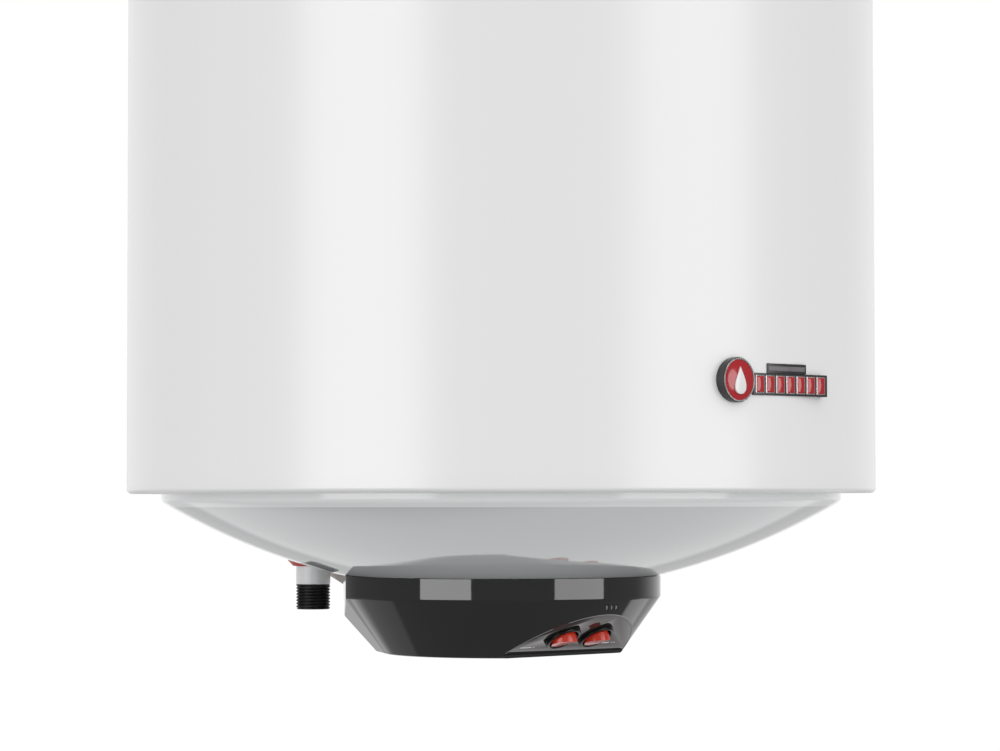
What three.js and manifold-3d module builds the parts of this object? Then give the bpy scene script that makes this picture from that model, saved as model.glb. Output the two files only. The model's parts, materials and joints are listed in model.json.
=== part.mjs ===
// Wall-hung electric storage water heater, millimetres, +Z up.
// The wall is the plane y = 0 and the heater hangs in front of it, on its -Y side.
// The origin is the centre of the upper wall bracket's back face.
import * as THREE from 'three';
import { ConvexGeometry } from 'three/addons/geometries/ConvexGeometry.js';
import { mergeVertices } from 'three/addons/utils/BufferGeometryUtils.js';
import Module from 'manifold-3d';

const wasm = await Module();
wasm.setup();

// ---- driving dimensions ----
const GAP = 0.3;                 // clearance between pieces that touch
const ROUND = 36;                // sides of the large round pieces
const TANK_SIDES = 18;
const COVER_STEPS = 12;          // facets along the front of the control cover
const SMALL_ROUND = 12;          // sides of the small round pieces

const CASING_R = 225;
const CASING_H = 640;
const CASING_SHEET = 1;
const CASING_CORNER = 3;
const CASING_LIP = 20.2;         // width of the flange that turns in at each end

const PAN_SHEET = 1;
const PAN_RIM_CORNER = 3.5;
const PAN_DEPTH = 60.7;
const PAN_RIM_DROP = 4.87;       // how far the bowl's edge lies below the casing's lower edge
const PAN_OPENING_R = 80;
const SEAM_GAP = 0.5;            // between a casing lip and the pan or cap inside it
const SEAT_WIDTH = 10;           // hidden flange of the pan and of the cap
const CAP_RISE = 22;

const INSULATION = 28;           // foam between the tank and the casing
const TANK_WALL = 2;
const TANK_LOW = -25;
const TOP_SPACE = 30;            // between the tank's top and the casing's top edge
const TANK_DOME = 45;

const NECK_R = 46;
const NECK_WALL = 3;
const NECK_END = -56;
const FLANGE_R = 66;
const RING_THICK = 8;
const GASKET_R = 51;
const GASKET_THICK = 3;
const PLATE_THICK = 3.5;
const BOLT_COUNT = 6;
const BOLT_CIRCLE_R = 57;
const BOLT_R = 3.9;
const BOLT_HEAD_R = 7.5;
const BOLT_HEAD_H = 5.5;

const PIPE_X = 50;
const PIPE_Y = 116;
const PIPE_R = 10.65;
const PIPE_WALL = 2.75;
const PIPE_END = -71.2;
const PIPE_TOP = 4;
const THREAD_LENGTH = 15.2;
const THREAD_PITCH = 1.9;
const THREAD_DEPTH = 0.75;
const DRAW_TUBE_SPACE = 35;      // between the draw tube's open end and the tank's top
const DRAW_TUBE_WALL = 1;
const COLLAR_DROP = 4.2;         // how far the collar's end lies below the pan at the pipe
const COLLAR_RISE = 16.5;        // height of the collar, most of it inside the pan
const COLLAR_WALL = 1.45;
const COLLAR_SLOPE = 0.95;       // radius gained for each unit of height
const DIFFUSER_R = 18;
const DIFFUSER_H = 12;

const ELEMENT_R = 4.25;
const ELEMENT_BEND = 12;
const ELEMENT_Y = 14;
const ELEMENT_TOPS = [250, 190];
const ELEMENT_END = -70;
const WELL_R = 6;
const WELL_WALL = 1;
const WELL_TOP = 215;
const PROBE_R = 3.2;
const ANODE_SPACE = 2.5;         // between the anode and the neck's wall
const ANODE_R = 10.5;
const ANODE_TOP = 170;
const ANODE_LOW = -50;
const STUD_R = 3;
const STUD_END = -69;

const COVER_WALL = 2.5;
const COVER_BOTTOM = -95.9;
const COVER_EDGE = -61.8;        // where the upright band meets the taper
const COVER_BAND_R = 96.2;
const COVER_SIDE_R = 126;
const COVER_SIDE_ANGLE = 75;     // degrees each side of the front that the round band covers
const COVER_LOW_R = 72;
const LOW_ARC_HALF = 115;        // degrees each side of the front that the round low edge covers
const COVER_CORNER = new THREE.Vector2(92, 37.6);
const COVER_BACK = new THREE.Vector3(53, 84.7, -74.4);
const COVER_BACK_DRAFT = 1.3;    // how far the flat back leans in towards its lower edge
const COVER_LOW_CORNER = new THREE.Vector2(60.2, 37.4);
const COVER_LOW_BACK = new THREE.Vector2(44.8, 62.8);
const COVER_TRIM_GAP = 0.35;

const FACET_FRONT_Y = -53;
const FACET_LIP = 1.9;
const FACET_SLOPE = 32.3;        // degrees up from horizontal
const FASCIA_THICK = 1;
const FASCIA_BORDER = 1.6;
const FASCIA_START = 0.8;        // distance up the facet where the fascia begins

const SWITCH_XS = [-16.3, 11.1];
const SWITCH_UP = 18.65;         // distance up the facet from its lower edge
const BEZEL_WIDTH = 2.2;         // from the well out to the bezel's edge
const BEZEL_H = 2;
const SWITCH_BODY_R = 9.8;       // the part behind the fascia
const SWITCH_BODY_DEPTH = 13;
const SWITCH_FLOOR = -8;
const ROCKER_PLAY = 1;           // between the rocker and its well
const ROCKER_PIVOT = 1;
const ROCKER_SKIRT = -3.6;
const ROCKER_MIDDLE = 2.6;
const ROCKER_END = 3.4;
const ROCKER_TILT = 19;

const LENS_COUNT = 3;
const LENS_PITCH = 3.9;
const LENS_W = 1.3;
const LENS_H = 4.6;
const LENS_SLANT = 29;
const LENS_SUNK = 0.5;
const LENS_DEPTH = 6;
const LENS_Z = -66.5;
const BOARD = new THREE.Vector3(16, 10, 1.2);

const THERMOSTAT = new THREE.Vector3(40, 30, 13);
const THERMOSTAT_TOP = -75;
const KNOB_R = 13;
const KNOB_TOP = -90.5;
const KNOB_RECESS = 0.3;
const KNOB_SLOT = new THREE.Vector3(20, 3.4, 2.4);
const SPINDLE_R = 3;
const SPINDLE_TOP = -80;
const RESET_XY = new THREE.Vector2(13, 8);
const RESET_R = 2.5;
const RESET_OUT = 2.5;
const RESET_LENGTH = 5.5;
const RESET_TRAVEL = 2;

const POST_XY = new THREE.Vector2(40, 20);
const POST_R = 5;
const POST_BORE = 2.1;
const POST_DEPTH = 12;
const BOSS_R = 6;
const BOSS_TOP = -84;
const SCREW_R = 1.8;
const SCREW_HEAD_R = 4;
const SCREW_HEAD_H = 2.4;
const SCREW_SINK = 0.7;
const SCREW_SEAT = -92.4;
const SCREW_TOP = -74;

const BLOCK = new THREE.Vector3(40, 12, 15);
const BLOCK_Y = 74.5;
const BLOCK_TOP = -57;
const LEAD_R = 1.3;
const LEAD_GAP = 1;              // a lead's end is cut square to a curve, so it stops a little short

const GLAND_X = -30;
const GLAND_DROP = 7.9;          // how far the cord gland's root lies below the pan
const GLAND_TILT = 16.5;
const GLAND_NECK_R = 4.6;
const GLAND_BASE_R = 6;
const GLAND_TIP_R = 3.6;
const GLAND_LENGTH = 38;
const GLAND_MOUTH_R = 2.5;
const GLAND_MOUTH_DEPTH = 4;

const BADGE_Z = 61.5;
const BADGE_TURN = -1.8;         // the flat badge sits a little left of the middle
const BADGE_HALF = 42.6;
const BADGE_FACE = 1.2;          // least height of the bar above the casing
const BADGE_DISC_RISE = 1.4;     // how far the disc stands above the bar
const BADGE_DISC_R = 12.4;
const BADGE_BAR_LOW = -8;
const BADGE_BAR_HIGH = 4.2;
const BADGE_STRIP = [-6.6, 25.2];
const BADGE_STRIP_HIGH = 9.7;

const WALL_SPACE = 14;           // between the casing and the wall
const UPPER_BRACKET_DROP = 150;  // below the casing's top edge
const LOWER_BRACKET_Z = 120;
const BRACKET_SHEET = 3;
const BRACKET_H = 50;
const BRACKET_HALF = 78;         // half the width of the flat back
const FOOT_X = 104;
const FOOT_LENGTH = 24;
const SLOT_XS = [-40, 40];
const SLOT_W = 26;
const SLOT_H = 13;
const BRACKET_BOLT_R = 4;
const BRACKET_NUT_R = 7.5;
const BRACKET_NUT_H = 6;

const RAD = Math.PI / 180;

// ---- sizes that follow from those above ----
const LIP_R = CASING_R - CASING_LIP;
const PAN_R = LIP_R - SEAM_GAP;
const PAN_SPHERE_R = (PAN_R ** 2 + (PAN_DEPTH - PAN_RIM_DROP) ** 2) / (2 * (PAN_DEPTH - PAN_RIM_DROP));
const TANK_R = CASING_R - INSULATION;
const TANK_HIGH = CASING_H - TOP_SPACE;
const PIPE_BORE = PIPE_R - PIPE_WALL;
const COLLAR_BORE = PIPE_R + GAP;
const COLLAR_END_R = COLLAR_BORE + COLLAR_WALL;
const GLAND_Z = panHeight(Math.hypot(GLAND_X, COVER_BACK.y)) - GLAND_DROP;
const COLLAR_END = panHeight(Math.hypot(PIPE_X, PIPE_Y)) - COLLAR_DROP;
const DRAW_TUBE_R = PIPE_BORE + DRAW_TUBE_WALL;
const DRAW_TUBE_TOP = TANK_HIGH - DRAW_TUBE_SPACE;
const SWITCH_WELL_R = SWITCH_BODY_R - 1;
const BEZEL_R = SWITCH_WELL_R + BEZEL_WIDTH;
const ROCKER_R = SWITCH_WELL_R - ROCKER_PLAY;
const ANODE_X = NECK_R - NECK_WALL - ANODE_SPACE - ANODE_R;
const WALL_Y = CASING_R + WALL_SPACE;
const UPPER_BRACKET_Z = CASING_H - UPPER_BRACKET_DROP;

// ---- materials ----
function material(colour, roughness, metalness = 0) {
  return new THREE.MeshStandardMaterial({ color: colour, roughness, metalness });
}
const WHITE_ENAMEL = [0xf2f3f3, 0.25];
const PAN_PAINT = [0xd9dcde, 0.2];
const DARK_PLASTIC = [0x2a2b2c, 0.12];
const BLACK_PLASTIC = [0x141415, 0.4];
const BRIGHT_STEEL = [0xb9bcc0, 0.35, 0.9];
const PALE_PLASTIC = [0xc9c4bb, 0.5];
const RED = [0xb03436, 0.35];
const BLUE = [0x2f57a8, 0.35];

// ---- helpers ----
function clean(geometry) {
  const bare = geometry.clone();
  bare.deleteAttribute('normal');
  bare.deleteAttribute('uv');
  const merged = mergeVertices(bare, 1e-4);
  const kept = [];
  const index = merged.index.array;
  for (let i = 0; i < index.length; i += 3) {
    const [a, b, c] = [index[i], index[i + 1], index[i + 2]];
    if (a !== b && b !== c && a !== c) {
      kept.push(a, b, c);
    }
  }
  merged.setIndex(kept);
  return merged;
}

function solid(geometry) {
  const merged = clean(geometry);
  return new wasm.Manifold(new wasm.Mesh({
    numProp: 3,
    vertProperties: new Float32Array(merged.attributes.position.array),
    triVerts: new Uint32Array(merged.index.array),
  }));
}

function shape(manifold) {
  const mesh = manifold.getMesh();
  const geometry = new THREE.BufferGeometry();
  geometry.setAttribute('position', new THREE.BufferAttribute(mesh.vertProperties, 3));
  geometry.setIndex(new THREE.BufferAttribute(mesh.triVerts, 1));
  return geometry;
}

function without(base, ...tools) {
  return shape(tools.reduce((rest, tool) => rest.subtract(solid(tool)), solid(base)));
}

function joined(...pieces) {
  return shape(pieces.map(solid).reduce((whole, piece) => whole.add(piece)));
}

function common(base, tool) {
  return shape(solid(base).intersect(solid(tool)));
}

// turns a closed outline of [radius, height] points about the Z axis
function turned(outline, sides = ROUND) {
  const points = outline.map(([r, z]) => new THREE.Vector2(Math.max(r, 0), z));
  if (THREE.ShapeUtils.area(points) < 0) {
    points.reverse();
  }
  const onAxis = points[0].x === 0 && points[points.length - 1].x === 0;
  if (!onAxis) {
    points.push(points[0].clone());
  }
  return new THREE.LatheGeometry(points, sides).rotateX(Math.PI / 2);
}

function rod(radius, low, high, x = 0, y = 0, sides = SMALL_ROUND) {
  return new THREE.CylinderGeometry(radius, radius, high - low, sides)
    .rotateX(Math.PI / 2).translate(x, y, (low + high) / 2);
}

function sleeve(inner, outer, low, high, sides = SMALL_ROUND) {
  return turned([[inner, low], [outer, low], [outer, high], [inner, high]], sides);
}

function block(width, depth, low, high, x = 0, y = 0) {
  return new THREE.BoxGeometry(width, depth, high - low).translate(x, y, (low + high) / 2);
}

function prism(points, low, high) {
  return new THREE.ExtrudeGeometry(new THREE.Shape(points), { depth: high - low, bevelEnabled: false })
    .translate(0, 0, low);
}

function tube(points, radius, steps, sides = 6) {
  const section = new THREE.Shape();
  section.absarc(0, 0, radius, 0, 2 * Math.PI);
  return new THREE.ExtrudeGeometry(section, {
    steps,
    curveSegments: sides,
    extrudePath: new THREE.CatmullRomCurve3(points),
    bevelEnabled: false,
  });
}

function arcPoints(centre, radius, from, to, steps) {
  const points = [];
  for (let i = 0; i <= steps; i += 1) {
    const angle = (from + (to - from) * i / steps) * RAD;
    points.push([centre[0] + radius * Math.cos(angle), centre[1] + radius * Math.sin(angle)]);
  }
  return points;
}

const heater = new THREE.Group();
heater.position.set(0, -WALL_Y, -UPPER_BRACKET_Z);

function add(name, geometry, look, parent = heater) {
  const mesh = new THREE.Mesh(geometry, material(...look));
  mesh.name = name;
  parent.add(mesh);
  return mesh;
}

// ---- casing, pan and cap ----
const SEAT_LOW = CASING_SHEET + GAP;

// height of a sphere bowl of the pan's size, lowered by an offset along its normal
function panHeight(r, offset = 0) {
  const sphere = PAN_SPHERE_R + offset;
  return PAN_SPHERE_R - PAN_DEPTH - Math.sqrt(sphere * sphere - r * r);
}

// radii at which the bowl is faceted, from its rim in to its opening
const PAN_RADII = [0, 1, 2, 3, 4].map((i) => {
  const rim = PAN_R - PAN_RIM_CORNER;
  return rim + (PAN_OPENING_R - rim) * i / 4;
});

function casingWall() {
  const top = CASING_H;
  const low = arcPoints([CASING_R - CASING_CORNER, CASING_CORNER], CASING_CORNER, -90, 0, 2);
  const high = arcPoints([CASING_R - CASING_CORNER, top - CASING_CORNER], CASING_CORNER, 0, 90, 2);
  const inner = CASING_R - CASING_SHEET;
  return turned([
    [LIP_R, 0],
    ...low,
    ...high,
    [LIP_R, top],
    [LIP_R, top - CASING_SHEET],
    [inner - CASING_CORNER + CASING_SHEET, top - CASING_SHEET],
    [inner, top - CASING_CORNER],
    [inner, CASING_CORNER],
    [inner - CASING_CORNER + CASING_SHEET, CASING_SHEET],
    [LIP_R, CASING_SHEET],
  ]);
}

// upright bracket bolts, at one side or the other of the back
function boltAngle() {
  return Math.asin(FOOT_X / CASING_R) / RAD;
}

function radialBolt(radius, from, to, side, z, sides = 12) {
  return new THREE.CylinderGeometry(radius, radius, to - from, sides)
    .translate(0, (from + to) / 2, 0)
    .rotateZ(-side * boltAngle() * RAD)
    .translate(0, 0, z);
}

const BOLT_PLACES = [];
for (const [level, z] of [['upper', UPPER_BRACKET_Z], ['lower', LOWER_BRACKET_Z]]) {
  for (const [side, sign] of [['left', -1], ['right', 1]]) {
    BOLT_PLACES.push({ level, side, sign, z });
  }
}

function boltHoles(radius) {
  return BOLT_PLACES.map(({ sign, z }) => radialBolt(radius, TANK_R - 8, CASING_R + 8, sign, z));
}

function bottomPan() {
  const rimCorner = arcPoints([PAN_R - PAN_RIM_CORNER, -2.2], PAN_RIM_CORNER, 0, -68, 2);
  const seat = PAN_R + SEAT_WIDTH;
  const outside = PAN_RADII.slice(1).map((r) => [r, panHeight(r)]);
  const inside = PAN_RADII.slice().reverse().map((r) => [r, panHeight(r, -PAN_SHEET)]);
  return without(turned([
    [seat, SEAT_LOW + PAN_SHEET],
    [seat, SEAT_LOW],
    [PAN_R, SEAT_LOW],
    ...rimCorner,
    ...outside,
    ...inside,
    [PAN_R - PAN_SHEET, -2],
    [PAN_R - PAN_SHEET, SEAT_LOW + PAN_SHEET],
  ]), ...[-PIPE_X, PIPE_X].map((x) => rod(COLLAR_END_R + GAP, -60, 20, x, PIPE_Y, 24)));
}

function topCap() {
  const low = CASING_H - CASING_SHEET - GAP;
  const seat = PAN_R + SEAT_WIDTH;
  const dome = (r) => CASING_H + CAP_RISE * (1 - (r / PAN_R) ** 2);
  const radii = [PAN_R, PAN_R * 0.73, PAN_R * 0.4, 0];
  return turned([
    ...radii.slice().reverse().map((r) => [r, dome(r) - PAN_SHEET]).slice(0, -1),
    [PAN_R - PAN_SHEET, low - PAN_SHEET + 1],
    [PAN_R - PAN_SHEET, low - PAN_SHEET],
    [seat, low - PAN_SHEET],
    [seat, low],
    [PAN_R, low],
    ...radii.map((r) => [r, dome(r)]),
  ]);
}

// ---- tank and insulation ----
function domeFall(r) {
  const sphere = (TANK_R ** 2 + TANK_DOME ** 2) / (2 * TANK_DOME);
  return sphere - Math.sqrt(sphere ** 2 - Math.min(r, TANK_R) ** 2);
}

function domeOutline(radius, grow, top) {
  const steps = 4;
  const points = [];
  for (let i = 0; i <= steps; i += 1) {
    const r = radius * i / steps;
    const fall = domeFall(r);
    points.push([r, top ? TANK_HIGH - fall + grow : TANK_LOW + fall - grow]);
  }
  return points;
}

function pressureTank() {
  const outerTop = domeOutline(TANK_R, 0, true).reverse();
  const innerTop = domeOutline(TANK_R - TANK_WALL, -TANK_WALL, true);
  const outerLow = domeOutline(TANK_R, 0, false).filter(([r]) => r > NECK_R);
  const innerLow = domeOutline(TANK_R - TANK_WALL, -TANK_WALL, false).filter(([r]) => r > NECK_R);
  const neckInner = NECK_R - NECK_WALL;
  return without(turned([
    [neckInner, NECK_END],
    [NECK_R, NECK_END],
    [NECK_R, TANK_LOW + 2.4],
    ...outerLow,
    ...outerTop,
    ...innerTop,
    ...innerLow.slice().reverse(),
    [neckInner, TANK_LOW + 2.4 + TANK_WALL],
  ], TANK_SIDES), ...[-PIPE_X, PIPE_X].map((x) => rod(PIPE_R + GAP, -60, 20, x, PIPE_Y, 16)));
}

function insulation() {
  const outer = CASING_R - CASING_SHEET - 0.8;
  const top = CASING_H - CASING_SHEET - PAN_SHEET - 2 * GAP - 0.4;
  const low = SEAT_LOW + PAN_SHEET + 0.7;
  const wellR = PAN_OPENING_R + 3;
  const clearance = 0.8;
  const bowl = [wellR, ...PAN_RADII.filter((r) => r > wellR).reverse()];
  const tankLow = domeOutline(TANK_R + clearance, clearance, false).filter(([r]) => r > wellR);
  return without(turned([
    ...bowl.map((r) => [r, panHeight(r, -PAN_SHEET) + clearance]),
    [PAN_R - 2, low],
    [outer, low],
    [outer, top],
    [0, top],
    ...domeOutline(TANK_R + clearance, clearance, true),
    ...tankLow.slice().reverse(),
    [wellR, TANK_LOW + domeFall(wellR) - clearance],
  ]), ...[-PIPE_X, PIPE_X].map((x) => rod(COLLAR_END_R + 1, -80, 40, x, PIPE_Y, 16)),
  ...boltHoles(BRACKET_BOLT_R + 0.6));
}

function buildShell() {
  add('outer_casing', without(casingWall(), ...boltHoles(BRACKET_BOLT_R + GAP)), WHITE_ENAMEL);
  add('bottom_pan', bottomPan(), PAN_PAINT);
  add('top_cap', topCap(), WHITE_ENAMEL);
  add('insulation_foam', insulation(), [0xe6dcb4, 0.95]);
  add('inner_tank', pressureTank(), [0x39485a, 0.3]);
}

// ---- flange assembly ----
const RING_TOP = NECK_END + RING_THICK;
const GASKET_TOP = NECK_END - GAP;
const PLATE_TOP = GASKET_TOP - GASKET_THICK - GAP;
const PLATE_LOW = PLATE_TOP - PLATE_THICK;

function boltCircle(make) {
  const places = [];
  for (let i = 0; i < BOLT_COUNT; i += 1) {
    const angle = 2 * Math.PI * i / BOLT_COUNT;
    places.push(make(BOLT_CIRCLE_R * Math.cos(angle), BOLT_CIRCLE_R * Math.sin(angle)));
  }
  return places;
}

function elementLegs(make) {
  const legs = [];
  for (const y of [-ELEMENT_Y, ELEMENT_Y]) {
    for (const x of [-ELEMENT_BEND, ELEMENT_BEND]) {
      legs.push(make(x, y));
    }
  }
  return legs;
}

function flangePlate() {
  const low = PLATE_LOW - 1;
  const high = PLATE_TOP + 1;
  return without(
    rod(FLANGE_R, PLATE_LOW, PLATE_TOP, 0, 0, 32),
    ...boltCircle((x, y) => rod(BOLT_R + GAP, low, high, x, y, 12)),
    ...elementLegs((x, y) => rod(ELEMENT_R + GAP, low, high, x, y, 12)),
    rod(WELL_R + GAP, low, high, 0, 0, 16),
    rod(STUD_R + GAP, low, high, ANODE_X, 0, 12),
  );
}

function heatingElement(y, top) {
  const bendZ = top - ELEMENT_BEND;
  const bend = [];
  for (let i = 0; i <= 8; i += 1) {
    const angle = Math.PI * (1 - i / 8);
    bend.push(new THREE.Vector3(ELEMENT_BEND * Math.cos(angle), y, bendZ + ELEMENT_BEND * Math.sin(angle)));
  }
  return joined(
    rod(ELEMENT_R, ELEMENT_END, bendZ + 0.4, -ELEMENT_BEND, y, 8),
    rod(ELEMENT_R, ELEMENT_END, bendZ + 0.4, ELEMENT_BEND, y, 8),
    tube(bend, ELEMENT_R * 0.995, 6, 8),
  );
}

function flangeBolt() {
  return joined(
    rod(BOLT_R, PLATE_LOW - GAP - 1, RING_TOP - 1, 0, 0, 12),
    rod(BOLT_HEAD_R, PLATE_LOW - GAP - BOLT_HEAD_H, PLATE_LOW - GAP, 0, 0, 6),
  );
}

function buildFlange() {
  const ring = without(
    sleeve(NECK_R + 0.5, FLANGE_R, NECK_END, RING_TOP, 32),
    ...boltCircle((x, y) => rod(BOLT_R + GAP, NECK_END - 1, RING_TOP + 1, x, y, 12)),
  );
  add('tank_flange_ring', ring, BRIGHT_STEEL);
  const gasket = sleeve(NECK_R - NECK_WALL + 0.5, GASKET_R, GASKET_TOP - GASKET_THICK, GASKET_TOP, 24);
  add('flange_gasket', gasket, [0x20201f, 0.9]);
  add('flange_plate', flangePlate(), BRIGHT_STEEL);
  boltCircle((x, y) => new THREE.Vector2(x, y)).forEach((place, i) => {
    add(`flange_bolt_${i + 1}`, flangeBolt(), BRIGHT_STEEL).position.set(place.x, place.y, 0);
  });
  [-ELEMENT_Y, ELEMENT_Y].forEach((y, i) => {
    add(`heating_element_${i + 1}`, heatingElement(y, ELEMENT_TOPS[i]), [0xb87a4b, 0.35, 0.9]);
  });
  const well = turned([
    [WELL_R - WELL_WALL, PLATE_LOW - 2], [WELL_R, PLATE_LOW - 2], [WELL_R, WELL_TOP], [0, WELL_TOP],
    [0, WELL_TOP - WELL_WALL], [WELL_R - WELL_WALL, WELL_TOP - WELL_WALL],
  ], 14);
  add('thermowell', well, BRIGHT_STEEL);
  add('anode_rod', rod(ANODE_R, ANODE_LOW, ANODE_TOP, ANODE_X), [0xa9aaa8, 0.7, 0.5]);
  add('anode_stud', rod(STUD_R, STUD_END, ANODE_LOW - GAP, ANODE_X, 0, 12), BRIGHT_STEEL);
}

// ---- water connections ----
function threadedPipe() {
  const start = PIPE_END + THREAD_LENGTH;
  const outline = [[PIPE_BORE, PIPE_END], [PIPE_R - THREAD_DEPTH, PIPE_END]];
  const turns = Math.floor(THREAD_LENGTH / THREAD_PITCH);
  for (let i = 0; i < turns; i += 1) {
    const z = PIPE_END + i * THREAD_PITCH;
    outline.push([PIPE_R - 0.15, z + THREAD_PITCH * 0.5]);
    outline.push([PIPE_R - THREAD_DEPTH, z + THREAD_PITCH]);
  }
  outline.push([PIPE_R, start + 0.4], [PIPE_R, PIPE_TOP], [PIPE_BORE, PIPE_TOP]);
  return turned(outline, 16);
}

function collar(x) {
  const bore = COLLAR_BORE;
  const high = COLLAR_END + COLLAR_RISE;
  const cone = turned([
    [bore, COLLAR_END],
    [COLLAR_END_R, COLLAR_END],
    [COLLAR_END_R + COLLAR_SLOPE * (high - COLLAR_END), high],
    [bore, high],
  ], 20);
  const trimmed = without(cone, panBowl(COVER_TRIM_GAP).translate(-x, -PIPE_Y, 0));
  return joined(trimmed, sleeve(bore, COLLAR_END_R - 0.15, COLLAR_END + 1, high + 2, 20));
}

function buildWater() {
  add('hot_outlet_pipe', threadedPipe(), BRIGHT_STEEL).position.set(-PIPE_X, PIPE_Y, 0);
  add('cold_inlet_pipe', threadedPipe(), BRIGHT_STEEL).position.set(PIPE_X, PIPE_Y, 0);
  add('hot_collar', collar(-PIPE_X), RED).position.set(-PIPE_X, PIPE_Y, 0);
  add('cold_collar', collar(PIPE_X), BLUE).position.set(PIPE_X, PIPE_Y, 0);
  const draw = sleeve(DRAW_TUBE_R - 1, DRAW_TUBE_R, PIPE_TOP + GAP, DRAW_TUBE_TOP, 14);
  add('hot_draw_tube', draw, PALE_PLASTIC).position.set(-PIPE_X, PIPE_Y, 0);
  const low = PIPE_TOP + GAP;
  const diffuser = turned([
    [PIPE_BORE, low], [DIFFUSER_R, low], [DIFFUSER_R, low + DIFFUSER_H], [0, low + DIFFUSER_H],
    [0, low + DIFFUSER_H - 2], [DIFFUSER_R - 2, low + DIFFUSER_H - 2], [DIFFUSER_R - 2, low + 2],
    [PIPE_BORE, low + 2],
  ], 20);
  add('cold_diffuser', diffuser, PALE_PLASTIC).position.set(PIPE_X, PIPE_Y, 0);
}

// ---- control cover ----
function bandOutline(inset) {
  const front = [];
  const radius = COVER_BAND_R - inset;
  for (let i = 0; i <= COVER_STEPS; i += 1) {
    const angle = (-COVER_SIDE_ANGLE + 2 * COVER_SIDE_ANGLE * i / COVER_STEPS) * RAD;
    front.push([radius * Math.sin(angle), -radius * Math.cos(angle)]);
  }
  const end = front[front.length - 1];
  const corner = [COVER_CORNER.x - inset * 1.1, COVER_CORNER.y - inset * 0.35];
  const middle = [(end[0] + corner[0]) / 2, (end[1] + corner[1]) / 2];
  const half = Math.hypot(corner[0] - end[0], corner[1] - end[1]) / 2;
  const bulge = COVER_SIDE_R - Math.sqrt(COVER_SIDE_R ** 2 - half ** 2);
  const side = [];
  for (const share of [-0.5, 0, 0.5]) {
    side.push([middle[0] + bulge * (1 - share * share), middle[1] + share * 2 * half]);
  }
  const right = [...side, corner];
  const left = right.slice().reverse().map(([x, y]) => [-x, y]);
  return [...left, ...front, ...right];
}

function lowOutline(inset) {
  const points = [];
  const radius = COVER_LOW_R - inset;
  for (let i = 0; i <= COVER_STEPS; i += 1) {
    const angle = (2 * i / COVER_STEPS - 1) * LOW_ARC_HALF * RAD;
    points.push([radius * Math.sin(angle), -radius * Math.cos(angle)]);
  }
  const corner = [COVER_LOW_CORNER.x - inset, COVER_LOW_CORNER.y];
  const back = [COVER_LOW_BACK.x - inset * 0.7, COVER_LOW_BACK.y - inset];
  return [...points, corner, [-corner[0], corner[1]], back, [-back[0], back[1]]];
}

const COVER_ROOF = -20;

function coverHull(inset) {
  const back = [COVER_BACK.x - inset * 0.6, COVER_BACK.y - inset];
  const floor = COVER_BOTTOM + inset;
  const points = [];
  for (const [x, y] of bandOutline(inset)) {
    points.push(new THREE.Vector3(x, y, COVER_ROOF));
    points.push(new THREE.Vector3(x, y, COVER_EDGE + inset * 0.4));
  }
  for (const x of [-back[0], back[0]]) {
    points.push(new THREE.Vector3(x, back[1], panHeight(back[1])));
    points.push(new THREE.Vector3(x, back[1] - COVER_BACK_DRAFT, COVER_BACK.z + inset * 0.4));
    points.push(new THREE.Vector3(x, back[1] - COVER_BACK_DRAFT, COVER_ROOF));
  }
  for (const [x, y] of lowOutline(inset)) {
    points.push(new THREE.Vector3(x, y, floor));
  }
  return new ConvexGeometry(points);
}

// everything on the outer side of the switch facet, sunk by a depth along its normal
function facetWedge(depth) {
  const slope = Math.tan(FACET_SLOPE * RAD);
  const lift = depth / Math.cos(FACET_SLOPE * RAD);
  const y = FACET_FRONT_Y + depth;
  const z = COVER_BOTTOM + FACET_LIP + lift - depth * slope;
  const far = 60;
  const side = 90;
  const outline = [[y, z], [y, z - 80], [y - far, z - 80], [y - far, z + far * slope]];
  return new THREE.ExtrudeGeometry(
    new THREE.Shape(outline.map(([a, b]) => new THREE.Vector2(a, b))),
    { depth: 2 * side, bevelEnabled: false },
  ).applyMatrix4(new THREE.Matrix4().makeBasis(
    new THREE.Vector3(0, 1, 0), new THREE.Vector3(0, 0, 1), new THREE.Vector3(1, 0, 0),
  )).translate(-side, 0, 0);
}

function panBowl(gap) {
  return turned([
    [0, panHeight(0, gap)],
    [PAN_OPENING_R / 2, panHeight(PAN_OPENING_R / 2, gap)],
    ...PAN_RADII.slice().reverse().map((r) => [r, panHeight(r, gap)]),
    [PAN_R, 60],
    [0, 60],
  ]);
}

// a frame on the facet: X across, Y up the slope, Z outwards
const facetFrame = new THREE.Group();
facetFrame.position.set(0, FACET_FRONT_Y, COVER_BOTTOM + FACET_LIP);
facetFrame.rotation.x = (180 - FACET_SLOPE) * RAD;
facetFrame.updateMatrix();
heater.add(facetFrame);

// a frame on the taper at the indicator lights: X across, Z outwards
const TAPER = (COVER_BAND_R - COVER_LOW_R) / (COVER_EDGE - COVER_BOTTOM);
const lensFrame = new THREE.Group();
lensFrame.position.set(0, -COVER_LOW_R - TAPER * (LENS_Z - COVER_BOTTOM), LENS_Z);
lensFrame.rotation.x = Math.PI / 2 + Math.atan(TAPER);
lensFrame.updateMatrix();
heater.add(lensFrame);

const glandFrame = new THREE.Group();
glandFrame.position.set(GLAND_X, COVER_BACK.y, GLAND_Z);
glandFrame.rotation.x = -(90 - GLAND_TILT) * RAD;
glandFrame.updateMatrix();
heater.add(glandFrame);

function onFacet(geometry, x = 0, up = 0, out = 0) {
  return geometry.translate(x, up, out).applyMatrix4(facetFrame.matrix);
}

function facetPoint(x, up, out) {
  return new THREE.Vector3(x, up, out).applyMatrix4(facetFrame.matrix);
}

// a plate let into the facet, open to the outside when it rises above it
function fasciaBlank(border, start, thick, rise) {
  const reach = 120;
  const slab = onFacet(block(2 * reach, reach, -thick, rise), 0, start + reach / 2, 0);
  return common(slab, without(coverHull(border), facetWedge(-rise - 1)));
}

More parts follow.
